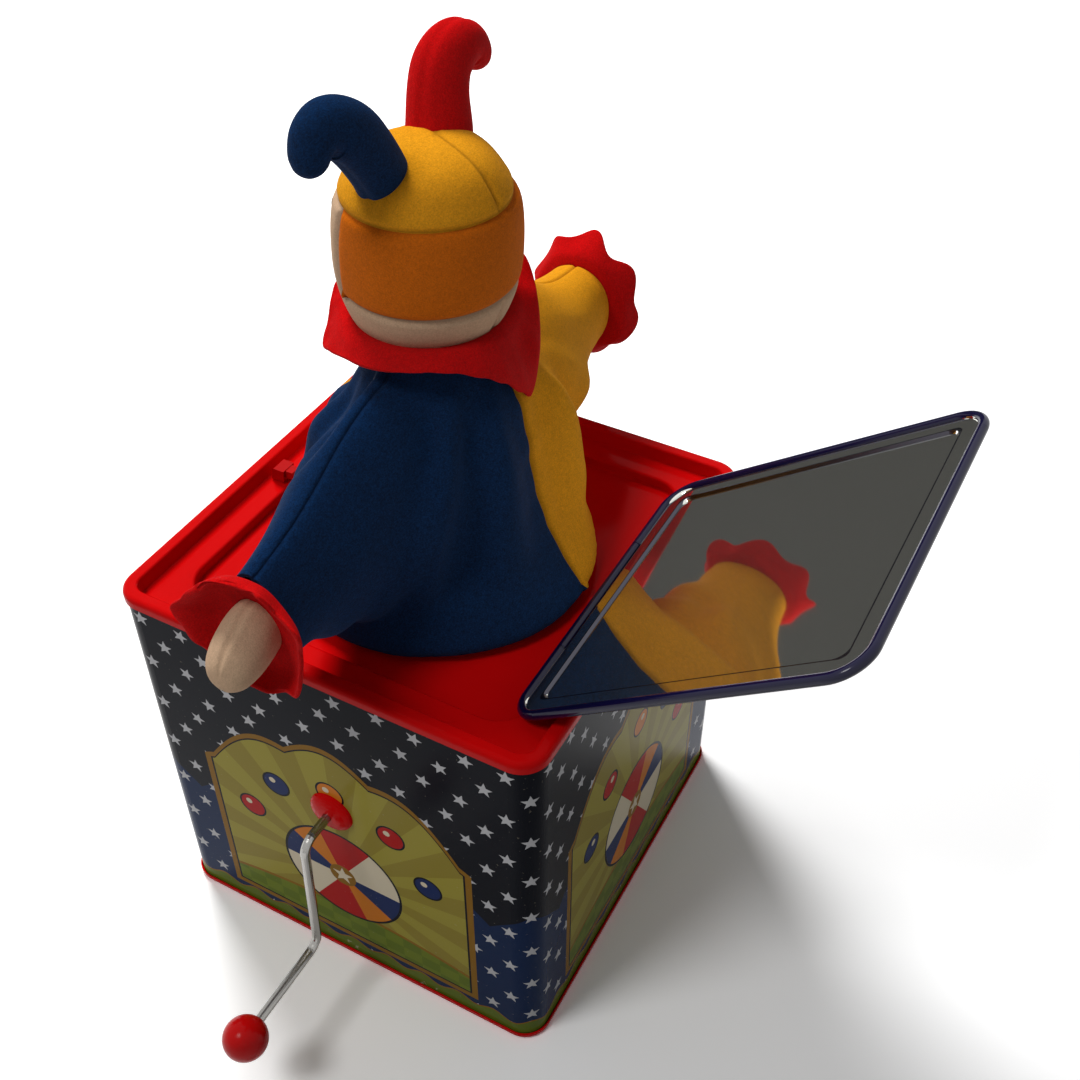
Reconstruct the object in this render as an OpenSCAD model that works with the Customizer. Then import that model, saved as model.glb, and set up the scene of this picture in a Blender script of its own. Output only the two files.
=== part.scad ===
// Musical jack-in-the-box: a square tin box with a hinged lid, a hand crank that turns a pinned
// drum against a steel comb, a catch that holds the lid, and a cloth jester on a coil spring.
// Millimetres, +Z up, origin at the middle of the underside. Front (catch) is -Y, hinge is +Y,
// crank is +X. The model stands as it does just after it pops: lid thrown back, jester up.

/* [Box] */
// Width and depth of the box over its walls
box_w = 140; // [139:1:141]
// Height of the box to the top of the rolled rim
box_h = 141; // [140:1:142]
// Radius of the upright corners
corner_r = 8; // [7.5:0.5:8.5]
// Thickness of the tinplate
tin = 0.5; // [0.4:0.1:0.6]
// Depth of the lid recess below the land
recess_d = 3.5; // [3:0.5:4]
// Radius of the round opening that the jester rises through
opening_r = 43.5; // [43:0.5:44]

/* [Lid] */
// Width and depth of the lid over its rolled edge
lid_w = 111; // [110:0.5:111.5]
// Radius of the lid's rolled edge
bead_r = 1.5; // [1.4:0.1:1.6]
// Angle that the lid swings through from open to shut
lid_swing = 144; // [140:1:148]

/* [Crank] */
// Height of the crank shaft above the floor
crank_z = 80; // [78:1:82]
// Radius of the crank wire
wire_r = 1.5; // [1.4:0.1:1.6]
// Throw of the crank, from the shaft to the handle
crank_throw = 49; // [46:1:52]
// Radius of the ball knob
knob_r = 7; // [6:0.5:8]

/* [Movement] */
// Gear module
gear_m = 0.75; // [0.75]
// Teeth on the crank pinion
pinion_n = 12; // [12]
// Teeth on the drum wheel
wheel_n = 48; // [48]
// Radius of the pinned drum
drum_r = 10.5; // [10:0.5:11]
// Notes on the comb
note_n = 10; // [8:1:11]

/* [Jester] */
// Distance that the jester travels when it is pushed down
travel = 140; // [136:1:141]
// Half width of the head
head_a = 24.9; // [24:0.1:26]
// Drop of the chin below the widest place of the head
head_b = 33; // [32:0.5:34]
// Rise of the cap's crown above the widest place of the head
crown_h = 29.2; // [28:0.1:31]
// Fullness of the crown: 2 is an ellipse, and more is squarer
crown_n = 2.8; // [2:0.1:3.5]
// Height of the middle of the head
head_z = 238; // [237:1:239]
// Distance from the middle of the jester to each wrist
wrist_x = 85; // [82:1:88]
// Turns of the coil spring
spring_turns = 12.5; // [11:0.5:14]

/* [Hidden] */
$fn = 64;
half = box_w / 2;
fit = 0.05;                          // running clearance of pins and shafts
rim_in = 4.5;                        // width of the rolled rim
land_z = box_h - 4.5;                // top of the flat land inside the rim
floor_z = land_z - recess_d;         // top of the recess floor
recess_half = 57.2;
recess_r = 11;
crank_y = 0;
wall_in = half - tin;                // inner face of the walls

lid_path = lid_w / 2 - bead_r;       // centre line of the rolled edge
lid_corner = 9.5;
hinge_y = lid_path + 0.2;
hinge_z = land_z + 0.3;
hinge_pin_r = 1;
knuckle_x = [-24, 24.9];             // the box's own knuckle, between the lid's two
knuckle_gap = 0.35;

latch_y = -60.2;                     // plane of the latch lever
latch_z = 40;                        // its pivot
latch_t = 1.2;
latch_w = 4;
catch_w = 5.6;                       // width of the cap on its end
nose_z = hinge_z + bead_r + 0.25;    // underside of the nose that holds the shut lid
release_z = crank_z;

drum_y = crank_y - gear_m * (pinion_n + wheel_n) / 2;
drum_x = [44, 59];
pin_h = 1;
frame_x = [42, wall_in - 1];         // inner faces of the movement's two plates
arbor_r = 1.2;
cam_r = 13;
cam_x = [60.6, 63];
gear_x = [63.6, 65.6];

plug_z = 205;                        // top of the neck plug, under the head
spring_wire = 1.1;
spring_r = [25, 15.2];
seat_t = 0.8;
arm_y = 1;
arm_z = 174.5;
sleeve_r = 16.3;
sleeve_flat = 0.6;
cloth = 1.2;
band_z = [head_z - 8.2, head_z + 16];    // lower and upper edge of the hair band
face_a = [215, 325];                     // azimuths between which the face shows

// ---------- helpers ----------

// Points on an arc, from angle a to angle b
function arc(c, r, a, b, n = 6) = [for (i = [0:n]) c + r * [cos(a + (b - a) * i / n),
    sin(a + (b - a) * i / n)]];
function unit(v) = v / norm(v);
// Normal of a polyline at point i, lengthened so that the strip keeps its thickness in a bend
function mitre(p, i) =
    let (a = unit(i > 0 ? p[i] - p[i - 1] : p[1] - p[0]),
         b = unit(i < len(p) - 1 ? p[i + 1] - p[i] : p[i] - p[i - 1]),
         n = unit([-(a + b)[1], (a + b)[0]]))
    n / max(0.5, n * [-a[1], a[0]]);
// Outline of a sheet that follows a polyline
function strip(p, t) = concat([for (i = [0:len(p) - 1]) p[i] + mitre(p, i) * t / 2],
    [for (i = [len(p) - 1:-1:0]) p[i] - mitre(p, i) * t / 2]);

// Square with round corners
module round_square(h, r) {
    square([2 * h, 2 * (h - r)], center = true);
    square([2 * (h - r), 2 * h], center = true);
    for (x = [-1, 1], y = [-1, 1]) translate([x * (h - r), y * (h - r)]) circle(r);
}
module plate(h, r, z, t) translate([0, 0, z]) linear_extrude(t) round_square(h, r);

// Sweeps a profile round a square path; x = r lies at distance h from the middle
module sweep_square(h, r) {
    c = h - r;
    for (a = [0:90:270]) rotate([0, 0, a]) {
        translate([c, c, 0]) rotate([90, 0, 0]) linear_extrude(2 * c) children();
        translate([c, c, 0]) rotate_extrude(angle = 90) children();
    }
}
// Draws a profile of (y, z) and gives it a thickness along X
module along_x(x, t) translate([x, 0, 0]) rotate([90, 0, 90]) linear_extrude(t) children();
module rod_x(x0, x1, r, y = 0, z = 0)
    translate([x0, y, z]) rotate([0, 90, 0]) cylinder(h = x1 - x0, r = r);
module rod_y(y0, y1, r, x = 0, z = 0)
    translate([x, y1, z]) rotate([90, 0, 0]) cylinder(h = y1 - y0, r = r);
module turned_x(y, z, points) translate([0, y, z]) rotate([0, 90, 0]) rotate([0, 0, 0])
    rotate_extrude() polygon([for (p = points) [p[1], p[0]]]);

// Tube of changing radius along a path; up is never along the path
module tube(path, radii, up, sides = 8) {
    n = len(path);
    ring = [for (i = [0:n - 1])
        let (t = unit(path[min(i + 1, n - 1)] - path[max(i - 1, 0)]),
             a = unit(cross(up, t)), b = cross(t, a))
        for (k = [0:sides - 1]) path[i] + radii[i] * (cos(360 * k / sides) * a
            + sin(360 * k / sides) * b)];
    side = [for (i = [0:n - 2], k = [0:sides - 1])
        let (j = (k + 1) % sides)
        each [[i * sides + k, (i + 1) * sides + k, (i + 1) * sides + j],
              [i * sides + k, (i + 1) * sides + j, i * sides + j]]];
    polyhedron(ring, concat(side, [[for (k = [0:sides - 1]) k],
        [for (k = [sides - 1:-1:0]) (n - 1) * sides + k]]));
}

// Involute gear outline
function involute(rb, t) = rb * [cos(t) + t * PI / 180 * sin(t), sin(t) - t * PI / 180 * cos(t)];
function turn(p, a) = [p[0] * cos(a) - p[1] * sin(a), p[0] * sin(a) + p[1] * cos(a)];
function gear(n, tip, root, play) =
    let (pa = 25, rp = gear_m * n / 2, rb = rp * cos(pa),
         inv = tan(pa) * 180 / PI - pa,
         start = max(root, rb),
         lift = 90 / n - play + inv,
         t0 = sqrt(max(0, pow(start / rb, 2) - 1)) * 180 / PI,
         t1 = sqrt(pow(tip / rb, 2) - 1) * 180 / PI,
         flank = [for (i = [0:4]) turn(involute(rb, t0 + (t1 - t0) * i / 4), -lift)],
         foot = root < rb ? [root * unit(flank[0])] : [],
         low = concat(foot, flank),
         high = [for (i = [len(low) - 1:-1:0]) [low[i][0], -low[i][1]]])
    [for (k = [0:n - 1]) each [for (p = concat(low, high)) turn(p, 360 * k / n)]];

// ---------- box ----------

module box_body() color("midnightblue") {
    seam_w = 5;
    difference() {
        // the walls stand in the bottom's curled edge and end under the rolled rim
        sweep_square(half, corner_r) translate([corner_r - tin, tin + 0.15])
            square([tin, box_h - 2.3]);
        rod_x(half - 2, half + 1, 3.5, crank_y, crank_z);
    }
    // lock seam, folded inside the wall on the crank's far side
    translate([-wall_in, -seam_w / 2, 3]) cube([tin, seam_w, box_h - 10]);
}

rim = concat([[corner_r + 0.55, land_z + 0.9]], arc([corner_r - 0.95, box_h - 1.75], 1.5, 0, 90),
    [[corner_r - 2.7, box_h - 0.25]], arc([corner_r - 2.9, box_h - 0.85], 0.6, 80, 150, 3),
    arc([corner_r - 4.9, land_z + 0.45], 0.7, -30, -90, 3));
step = concat([[recess_r + 1.2, land_z - 0.25]],
    arc([recess_r + 0.75, land_z - 1], 0.75, 90, 170, 4),
    arc([recess_r - 0.9, floor_z + 0.65], 0.9, -10, -90, 4), [[recess_r - 1.6, floor_z - 0.25]]);

module top_plate() color("red") difference() {
    union() {
        sweep_square(half, corner_r) polygon(strip(rim, tin));
        difference() {
            plate(half - 4.8, corner_r - 4.8, land_z - tin, tin);
            translate([0, 0, -1]) plate(recess_half + 0.7, recess_r + 0.7, land_z - tin, 3);
        }
        sweep_square(recess_half, recess_r) polygon(strip(step, tin));
        plate(recess_half - 0.9, recess_r - 0.9, floor_z - tin, tin);
        translate([0, 0, floor_z - 6]) cylinder(h = 6 - tin / 2, r = opening_r + tin);
    }
    translate([0, 0, floor_z - 10]) cylinder(h = 20, r = opening_r);
    // slot for the catch, and slot for the hinge strap
    translate([-latch_w / 2 - 0.4, latch_y - 2.2, land_z - 2]) cube([latch_w + 0.8, 3, 4]);
    translate([knuckle_x[0] + 0.5, hinge_y + 0.35, floor_z - 2])
        cube([knuckle_x[1] - knuckle_x[0] - 1, 1.1, 3]);
}

curl = concat([[corner_r - 4, tin / 2]], arc([corner_r - 0.4, tin / 2 + 1], 1, -90, 0, 5),
    [[corner_r + 0.6, 2.4]]);
module bottom_plate() color("red") {
    sweep_square(half, corner_r) polygon(strip(curl, tin));
    difference() {
        plate(half - 3.9, corner_r - 3.9, 0, tin);
        // pressed ring that stiffens the panel
        translate([0, 0, -1]) difference() {
            cylinder(h = 3, r = 50);
            translate([0, 0, -1]) cylinder(h = 5, r = 46);
        }
    }
    rotate_extrude() polygon(strip(concat([[45.9, tin / 2]], arc([46.4, 0.75], 0.5, -90, -10, 2),
        arc([48, 0.75], 0.85, 170, 10, 6), arc([49.6, 0.75], 0.5, 190, 270, 2),
        [[50.1, tin / 2]]), tin));
}

module hinge_knuckle() color("navy") {
    w = knuckle_x[1] - knuckle_x[0];
    strap_y = hinge_y + 0.5;
    difference() {
        union() {
            rod_x(knuckle_x[0], knuckle_x[1], bead_r, hinge_y, hinge_z);
            translate([knuckle_x[0] + 0.8, strap_y, floor_z - tin - 0.6])
                cube([w - 1.6, 0.8, hinge_z - floor_z]);
            translate([knuckle_x[0] + 0.8, strap_y - 2.2, floor_z - tin - 0.7])
                cube([w - 1.6, 3, 0.7]);
        }
        rod_x(knuckle_x[0] - 1, knuckle_x[1] + 1, hinge_pin_r, hinge_y, hinge_z);
    }
}

module hinge_pin() color("silver") rod_x(-44, 44, hinge_pin_r, hinge_y, hinge_z);

module hem_ring() color("silver") translate([0, 0, floor_z - 7.2])
    rotate_extrude() translate([opening_r + 0.4, 0]) circle(1.05);

module spring_seat() color("silver") {
    translate([0, 0, tin]) cylinder(h = seat_t, r = 30);
    // lanced tabs, bent over the lowest coil
    for (a = [45:90:315]) rotate([0, 0, a]) translate([0, 2.5, 0]) rotate([90, 0, 0])
        linear_extrude(5) polygon(strip([[29, tin + seat_t], [28.2, 2.6], [27, 4.25],
            [23.6, 4.25]], 0.6));
}

// Heights of the two end coils: one lies on the seat, the other under the plug's flange
spring_z = [tin + seat_t + spring_wire + fit, plug_z - 3 - spring_wire - fit];
flat_turn = 0.9;                     // part of each end coil that lies flat
function spring_rise(t) = min(1, max(0, (t - flat_turn) / (spring_turns - 2 * flat_turn)));
module coil_spring() color("silver") {
    steps = 20;
    path = [for (i = [0:spring_turns * steps])
        let (t = i / steps, r = spring_r[0] + (spring_r[1] - spring_r[0]) * t / spring_turns)
        [r * cos(360 * t), r * sin(360 * t),
         spring_z[0] + (spring_z[1] - spring_z[0]) * spring_rise(t)]];
    tube(path, [for (p = path) spring_wire], [0, 0, 1], 8);
}

// ---------- music movement ----------

module crank_bush() color("red") turned_x(crank_y, crank_z, concat([[frame_x[1] - 0.7, wire_r + fit],
    [frame_x[1] - 0.7, 4.6], [frame_x[1], 4.8], [frame_x[1], 3.5], [half, 3.5], [half, 7.5]],
    [for (i = [0:6]) [half + 0.4 + 2.4 * sin(90 * i / 6), 7.5 - 5.95 * (1 - cos(90 * i / 6))]]));

module movement_frame() color("gainsboro") difference() {
    union() {
        for (x = [frame_x[0] - 1, frame_x[1]]) along_x(x, 1) plate_outline();
        // web between the plates, and the tab that carries the comb
        translate([frame_x[0] - 0.5, drum_y - 8, crank_z - 32])
            cube([frame_x[1] - frame_x[0] + 1, 18, 1]);
        translate([drum_x[0], drum_y + 0.9, crank_z - 31.5]) cube([drum_x[1] - drum_x[0], 1, 11]);
        // lugs that guide the release rod
        for (y = [-46, -56]) translate([56, y, release_z - 5])
            cube([frame_x[1] - 55.5, 1, 10]);
    }
    rod_x(frame_x[0] - 2, frame_x[0] + 1, wire_r + fit, crank_y, crank_z);
    rod_x(frame_x[1] - 1, frame_x[1] + 2, 3.5, crank_y, crank_z);
    rod_x(frame_x[0] - 2, frame_x[1] + 2, arbor_r + fit, drum_y, crank_z);
    rod_y(-57, -44, 1 + fit, (cam_x[0] + cam_x[1]) / 2, release_z);
    for (x = [-5, 5]) rod_y(drum_y, drum_y + 3, 1, (drum_x[0] + drum_x[1]) / 2 + x, crank_z - 25);
}
module plate_outline() difference() {
    union() {
        translate([crank_y, crank_z]) circle(7);
        translate([drum_y, crank_z]) circle(9);
        translate([drum_y, crank_z - 5]) square([crank_y - drum_y, 10]);
        translate([drum_y - 8, crank_z - 32]) square([18, 32]);
        translate([-57, release_z - 5]) square([57 + drum_y - 8, 10]);
    }
    translate([drum_y + 1, crank_z - 17]) circle(4.5);
}

module comb() color("lightsteelblue") {
    w = drum_x[1] - drum_x[0] - 1;
    pitch = w / note_n;
    tip = crank_z - drum_r - pin_h - 0.3;
    difference() {
        translate([drum_x[0] + 0.5, drum_y + 0.1, crank_z - 30]) cube([w, 0.8, tip - crank_z + 30]);
        // slots between the notes, deeper towards the low notes
        for (i = [1:note_n - 1]) translate([drum_x[0] + 0.5 + i * pitch - 0.15, drum_y - 1,
            tip - 6 - 4 * (1 - i / note_n)]) cube([0.3, 3, 20]);
        for (x = [-5, 5]) rod_y(drum_y - 1, drum_y + 2, 1, (drum_x[0] + drum_x[1]) / 2 + x,
            crank_z - 25);
    }
}

module comb_screws() color("dimgray") for (x = [-5, 5])
    translate([(drum_x[0] + drum_x[1]) / 2 + x, drum_y, crank_z - 25]) difference() {
        union() {
            rod_y(0.1, 3, 1);
            rod_y(-1.1, 0.1, 1.9);
        }
        translate([-2.5, -1.2, -0.25]) cube([5, 0.6, 0.5]);
    }

arm_x = 84.5;                        // where the shaft turns down into the arm
handle_x = 124;                      // middle of the ball knob
// Centre line of the crank beyond its bush: the arm leans out a little towards the handle
function bend(c, a0, a1) = [for (i = [0:8]) let (a = a0 + (a1 - a0) * i / 8)
    [c[0] + 4.5 * cos(a), crank_y, c[1] + 4.5 * sin(a)]];
crank_path = concat([[78, crank_y, crank_z]], bend([80.2, crank_z - 4.5], 90, 2.5),
    bend([91, crank_z - crank_throw + 4.5], 182.5, 270),
    [[handle_x - 1, crank_y, crank_z - crank_throw]]);
module crank_wire() color("silver") {
    rod_x(40.3, 78, wire_r, crank_y, crank_z);
    tube(crank_path, [for (p = crank_path) wire_r], [0, 1, 0], 16);
}
module crank_knob() color("red") difference() {
    translate([handle_x, crank_y, crank_z - crank_throw]) sphere(knob_r);
    rod_x(handle_x - 2 * knob_r, handle_x - 1, wire_r, crank_y, crank_z - crank_throw);
}
module crank_pinion() color("goldenrod") difference() {
    translate([0, crank_y, crank_z]) along_x(gear_x[0] - 0.4, gear_x[1] - gear_x[0] + 0.8)
        polygon(gear(pinion_n, 5.2, 3.5, 0.7));
    rod_x(gear_x[0] - 2, gear_x[1] + 2, wire_r, crank_y, crank_z);
}
module clip(x, r) difference() {
    rod_x(x, x + 0.6, r + 1.6);
    rod_x(x - 1, x + 2, r);
    translate([x - 1, -r * 0.6, 0]) cube([3, r * 1.2, r + 3]);
}
module crank_clip() color("dimgray") translate([0, crank_y, crank_z]) clip(40.35, wire_r);

module tune_drum() color("gold") difference() {
    union() {
        rod_x(drum_x[0], drum_x[1], drum_r, drum_y, crank_z);
        pitch = (drum_x[1] - drum_x[0] - 1) / note_n;
        for (i = [0:note_n - 1], k = [0:4])
            translate([drum_x[0] + 0.5 + (i + 0.5) * pitch, drum_y, crank_z])
                rotate([137.5 * (i + k * note_n), 0, 0])
                    cylinder(h = drum_r + pin_h, r = 0.4, $fn = 16);
    }
    rod_x(drum_x[0] - 1, drum_x[1] + 1, arbor_r, drum_y, crank_z);
    // hollow ends
    for (x = [drum_x[0] - 1, drum_x[1] - 3]) difference() {
        rod_x(x, x + 4, drum_r - 1.5, drum_y, crank_z);
        rod_x(x - 1, x + 5, 3, drum_y, crank_z);
    }
}
module drum_wheel() color("goldenrod") difference() {
    translate([0, drum_y, crank_z]) along_x(gear_x[0], gear_x[1] - gear_x[0]) difference() {
        rotate(180 / wheel_n) polygon(gear(wheel_n, 18.65, 16.95, 0.18));
        for (a = [30:60:330]) rotate(a) translate([11, 0]) circle(3.2);
    }
    rod_x(gear_x[0] - 1, gear_x[1] + 1, arbor_r, drum_y, crank_z);
}
module trip_cam() color("goldenrod") difference() {
    translate([0, drum_y, crank_z]) along_x(cam_x[0], cam_x[1] - cam_x[0]) union() {
        circle(8.5);
        rotate(-90) translate([0, -1.6]) square([cam_r - 1.6, 3.2]);
        rotate(-90) translate([cam_r - 1.6, 0]) circle(1.6);
    }
    rod_x(cam_x[0] - 1, cam_x[1] + 1, arbor_r, drum_y, crank_z);
}
module drum_arbor() color("silver") rod_x(40.3, wall_in - 0.1, arbor_r, drum_y, crank_z);
module arbor_clip() color("dimgray") translate([0, drum_y, crank_z]) clip(40.35, arbor_r);

// ---------- latch ----------

module latch_bracket() color("gainsboro") difference() {
    union() {
        translate([-4.8, -wall_in, latch_z - 6]) cube([9.6, 0.8, 12]);
        for (x = [-4.8, 4]) along_x(x, 0.8) {
            translate([-wall_in, latch_z - 6]) square([wall_in + latch_y, 12]);
            translate([latch_y, latch_z]) circle(3.5);
        }
    }
    rod_x(-6, 6, 1, latch_y, latch_z);
}
module latch_pin() color("silver") {
    rod_x(-5.2, 5.2, 1, latch_y, latch_z);
    for (x = [-5.8, 5]) rod_x(x, x + 0.8, 1.8, latch_y, latch_z);
}
module latch_lever() color("silver") difference() {
    union() {
        translate([-latch_w / 2, latch_y - latch_t / 2, latch_z])
            cube([latch_w, latch_t, box_h - 1.1 - latch_z]);
        rod_x(-3, 3, 2.4, latch_y, latch_z);
        // side arm that the release rod pushes
        translate([-latch_w / 2, latch_y - latch_t / 2, release_z - 3.5]) cube([67, latch_t, 7]);
    }
    rod_x(-4, 4, 1 + fit, latch_y, latch_z);
}
// red cap for a finger, with the sloping nose that snaps over the lid's edge
module catch_cap() color("red") difference() {
    union() {
        along_x(-catch_w / 2, catch_w) polygon([[latch_y - 3.4, land_z + 0.4],
            [latch_y + 1.4, land_z + 0.4], [latch_y + 1.8, box_h + 0.5],
            [latch_y - 2.1, box_h + 0.5], [latch_y - 2.6, box_h]]);
        along_x(-1.75, 3.5) polygon([[latch_y, nose_z], [latch_y + 5.9, nose_z],
            [latch_y + 5.9, nose_z + 0.3], [latch_y + 4.5, box_h + 0.3], [latch_y, box_h + 0.3]]);
    }
    translate([-latch_w / 2, latch_y - latch_t / 2, land_z - 1])
        cube([latch_w, latch_t, box_h - 0.1 - land_z]);
}
module latch_spring() color("silver") along_x(-2.5, 5) polygon(strip(
    [[-wall_in + 0.2, 88], [-wall_in + 0.2, 96], [latch_y - 0.6 - 0.6, 108],
     [latch_y - 2.2, 112]], 0.4));
module release_rod() color("silver") {
    x = (cam_x[0] + cam_x[1]) / 2;
    rod_y(latch_y + latch_t / 2 + 0.15, drum_y - cam_r - 0.2, 1, x, release_z);
    // stop collar between the lugs
    rod_y(-52, -50, 2, x, release_z);
}

// ---------- lid ----------

module lid_shut() difference() {
    union() {
        translate([0, hinge_y - lid_path, hinge_z]) {
            sweep_square(lid_path, lid_corner) translate([lid_corner, 0]) circle(bead_r);
            difference() {
                plate(lid_path - 0.3, lid_corner - 0.3, -tin / 2, tin);
                plate(lid_path - 5, lid_corner - 4, -2, 4);
            }
            sweep_square(lid_path - 5.2, lid_corner - 4.2)
                polygon(strip([[5.6, 0], [4.2, 0], [3.5, 0.8], [2.9, 0.8]], tin));
            plate(lid_path - 6.9, lid_corner - 5.9, 0.8 - tin / 2, tin);
        }
    }
    rod_x(-45, 45, hinge_pin_r + fit, hinge_y, hinge_z);
    rod_x(knuckle_x[0] - knuckle_gap, knuckle_x[1] + knuckle_gap, bead_r + 0.7, hinge_y, hinge_z);
}
module lid() color("darkslateblue") translate([0, hinge_y, hinge_z]) rotate([-lid_swing, 0, 0])
    translate([0, -hinge_y, -hinge_z]) lid_shut();

// ---------- jester ----------

// Radius of the head: an ellipse below its widest place and a fuller, flatter crown above
function egg(z, grow = 0) = let (up = z > head_z, n = up ? crown_n : 2,
    t = abs(z - head_z) / ((up ? crown_h : head_b) + grow))
    (head_a + grow) * pow(max(0, 1 - pow(t, n)), 1 / n);
function egg_side(z0, z1, n, grow = 0) = [for (i = [0:n])
    let (z = z0 + (z1 - z0) * (1 - cos(180 * i / n)) / 2) [egg(z, grow), z]];
module egg_slice(z0, z1, n) rotate_extrude() polygon(concat([[0, z0]], egg_side(z0, z1, n), [[0, z1]]));
// Sector of the head that the hair band fills
module hair_sector() translate([0, 0, band_z[0]]) linear_extrude(band_z[1] - band_z[0] + 1)
    polygon(concat([[0, 0]], arc([0, 0], 2 * head_a, face_a[1], face_a[0] + 360, 8)));

module neck_plug() color("burlywood") rotate_extrude() polygon([[0, plug_z - 9], [12.7, plug_z - 9],
    [13.7, plug_z - 8], [13.7, plug_z - 3], [17, plug_z - 3], [17, plug_z - 1], [13.7, plug_z],
    [8, plug_z], [8, plug_z + 17], [0, plug_z + 17]]);
module face() color("wheat") difference() {
    egg_slice(head_z - head_b, band_z[1], 14);
    hair_sector();
    cylinder(h = plug_z + 17, r = 8);
}
module hair_band() color("darkorange") intersection() {
    egg_slice(band_z[0], band_z[1], 6);
    hair_sector();
}
module cap() color("goldenrod") egg_slice(band_z[1], head_z + crown_h, 12);

// Centre lines and radii of the two horns, from the root out to the hanging tip
navy_horn_path = [[11.5, 1, 256], [14.4, 0.1, 263.8], [18, -1.8, 271.3], [22, -3.9, 277],
    [27, -5.6, 280], [31.6, -6.3, 279.6], [34.8, -6.2, 276], [36, -5.8, 272.5], [36.2, -5.7, 269.5]];
navy_horn_r = [7.6, 7.6, 7.7, 7.7, 7.2, 6.3, 5.4, 4.3, 1.4];
red_horn_path = [[-11, -1.8, 256], [-13.8, -2.8, 263.8], [-17.6, -4.8, 271.5], [-22, -5.7, 277.4],
    [-27.4, -4.8, 280.4], [-33.4, -3.7, 280.2], [-37, -2.8, 276.5], [-38.4, -2.2, 272.8], [-38.6, -2, 270]];
red_horn_r = [8.6, 8.6, 8.1, 7.8, 7.4, 6.6, 5.6, 4.4, 1.4];
module horn(path, r) difference() {
    tube(path, r, [0, 1, 0], 16);
    // the root follows the crown of the cap
    rotate_extrude() polygon(concat([[0, head_z], [egg(band_z[1]), head_z]],
        egg_side(band_z[1], head_z + crown_h, 12)));
}
module navy_horn() color("midnightblue") horn(navy_horn_path, navy_horn_r);
module red_horn() color("red") horn(red_horn_path, red_horn_r);
// Places children on the head's surface, facing out
module on_head(azimuth, z) rotate([0, 0, azimuth]) translate([egg(z), 0, z])
    rotate([0, 90 - atan((egg(z - 0.5) - egg(z + 0.5))), 0]) children();
module nose() color("red") on_head(-90, head_z + 1) rotate_extrude()
    polygon(concat([[0, 0]], arc([0, -1], 4, 14.5, 90, 8)));
module eyes() color("black") for (side = [-1, 1]) on_head(-90 + 14 * side, head_z + 9)
    rotate_extrude() polygon(concat([[0, 0]], arc([0, -1], 2.2, 27, 90, 6)));

module collar() color("red") difference() {
    rotate_extrude() polygon(strip([[egg(head_z - 18.5) + 0.8, head_z - 18.5], [24.5, head_z - 21],
        [27.8, head_z - 25], [30, head_z - 30]], cloth));
    for (a = [-18:72:270]) rotate([0, 0, a]) translate([36, 0, 190]) cylinder(h = 40, r = 10);
}

// Half outline of the robe, from the hem in the opening up to the neck
function robe_side(foot) = [[opening_r - 0.7, floor_z - 7.5],
    [opening_r - 0.7, floor_z + 0.6], [foot - 1.5, floor_z + 0.6], [foot, floor_z + 3],
    [foot - 1, floor_z + 7], [0.4 * foot + 26.5, floor_z + 14], [0.2 * foot + 33.5, floor_z + 22],
    [41, floor_z + 32], [38, floor_z + 43], [33, floor_z + 54], [28.5, floor_z + 64],
    [24.5, floor_z + 71], [19, floor_z + 76.5]];
module robe_body(foot, inset) rotate_extrude() let (p = robe_side(foot), n = len(p) - 1)
    polygon(concat([[0, p[0][1] - inset], [p[0][0] - inset, p[0][1] - inset]],
        [for (i = [0:n]) p[i] + mitre(p, i) * inset],
        [[p[n][0] - inset, p[n][1] + inset], [0, p[n][1] + inset]]));
// Stations along a sleeve: distance from the middle and half height; it is flattened front to back
sleeve_st = [[12, 27], [36, 34], [68, 20.5], [wrist_x - 0.5, sleeve_r]];
module sleeve(inset) translate([0, arm_y, arm_z]) scale([1, sleeve_flat, 1]) rotate([0, 90, 0])
    rotate_extrude() polygon(concat([[0, sleeve_st[0][0]]], [for (p = sleeve_st) [p[1] - inset, p[0]]],
        [[sleeve_r - inset, wrist_x - 0.5 + inset], [0, wrist_x - 0.5 + inset]]));
module robe_half(foot) intersection() {
    difference() {
        union() { robe_body(foot, 0); sleeve(0); }
        union() { robe_body(foot, cloth); sleeve(cloth); }
    }
    translate([0, -100, 100]) cube([200, 200, 200]);
}
module robe_navy() color("midnightblue") robe_half(51);
module robe_yellow() color("goldenrod") mirror([1, 0, 0]) robe_half(47);

module cuff() difference() {
    turned_x(arm_y, arm_z, strip([[wrist_x, 9.2], [wrist_x, 14.5], [wrist_x + 1.5, 17],
        [wrist_x + 4, 19], [wrist_x + 7.5, 20.8]], 1));
    for (a = [22.5:45:360]) translate([0, arm_y, arm_z]) rotate([a, 0, 0])
        rod_x(wrist_x + 4, wrist_x + 20, 4, 0, 23.4);
}
module left_cuff() color("red") cuff();
module right_cuff() color("red") mirror([1, 0, 0]) cuff();
module hand() turned_x(arm_y, arm_z, [[wrist_x - 2, 0], [wrist_x - 2, 7.8], [wrist_x + 2, 8.6],
    [wrist_x + 8, 8.6], [wrist_x + 13, 7.6], [wrist_x + 17.5, 5.8], [wrist_x + 20.5, 3.4],
    [wrist_x + 22, 1.2], [wrist_x + 22.2, 0]]);
module left_hand() color("wheat") hand();
module right_hand() color("wheat") mirror([1, 0, 0]) hand();

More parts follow.
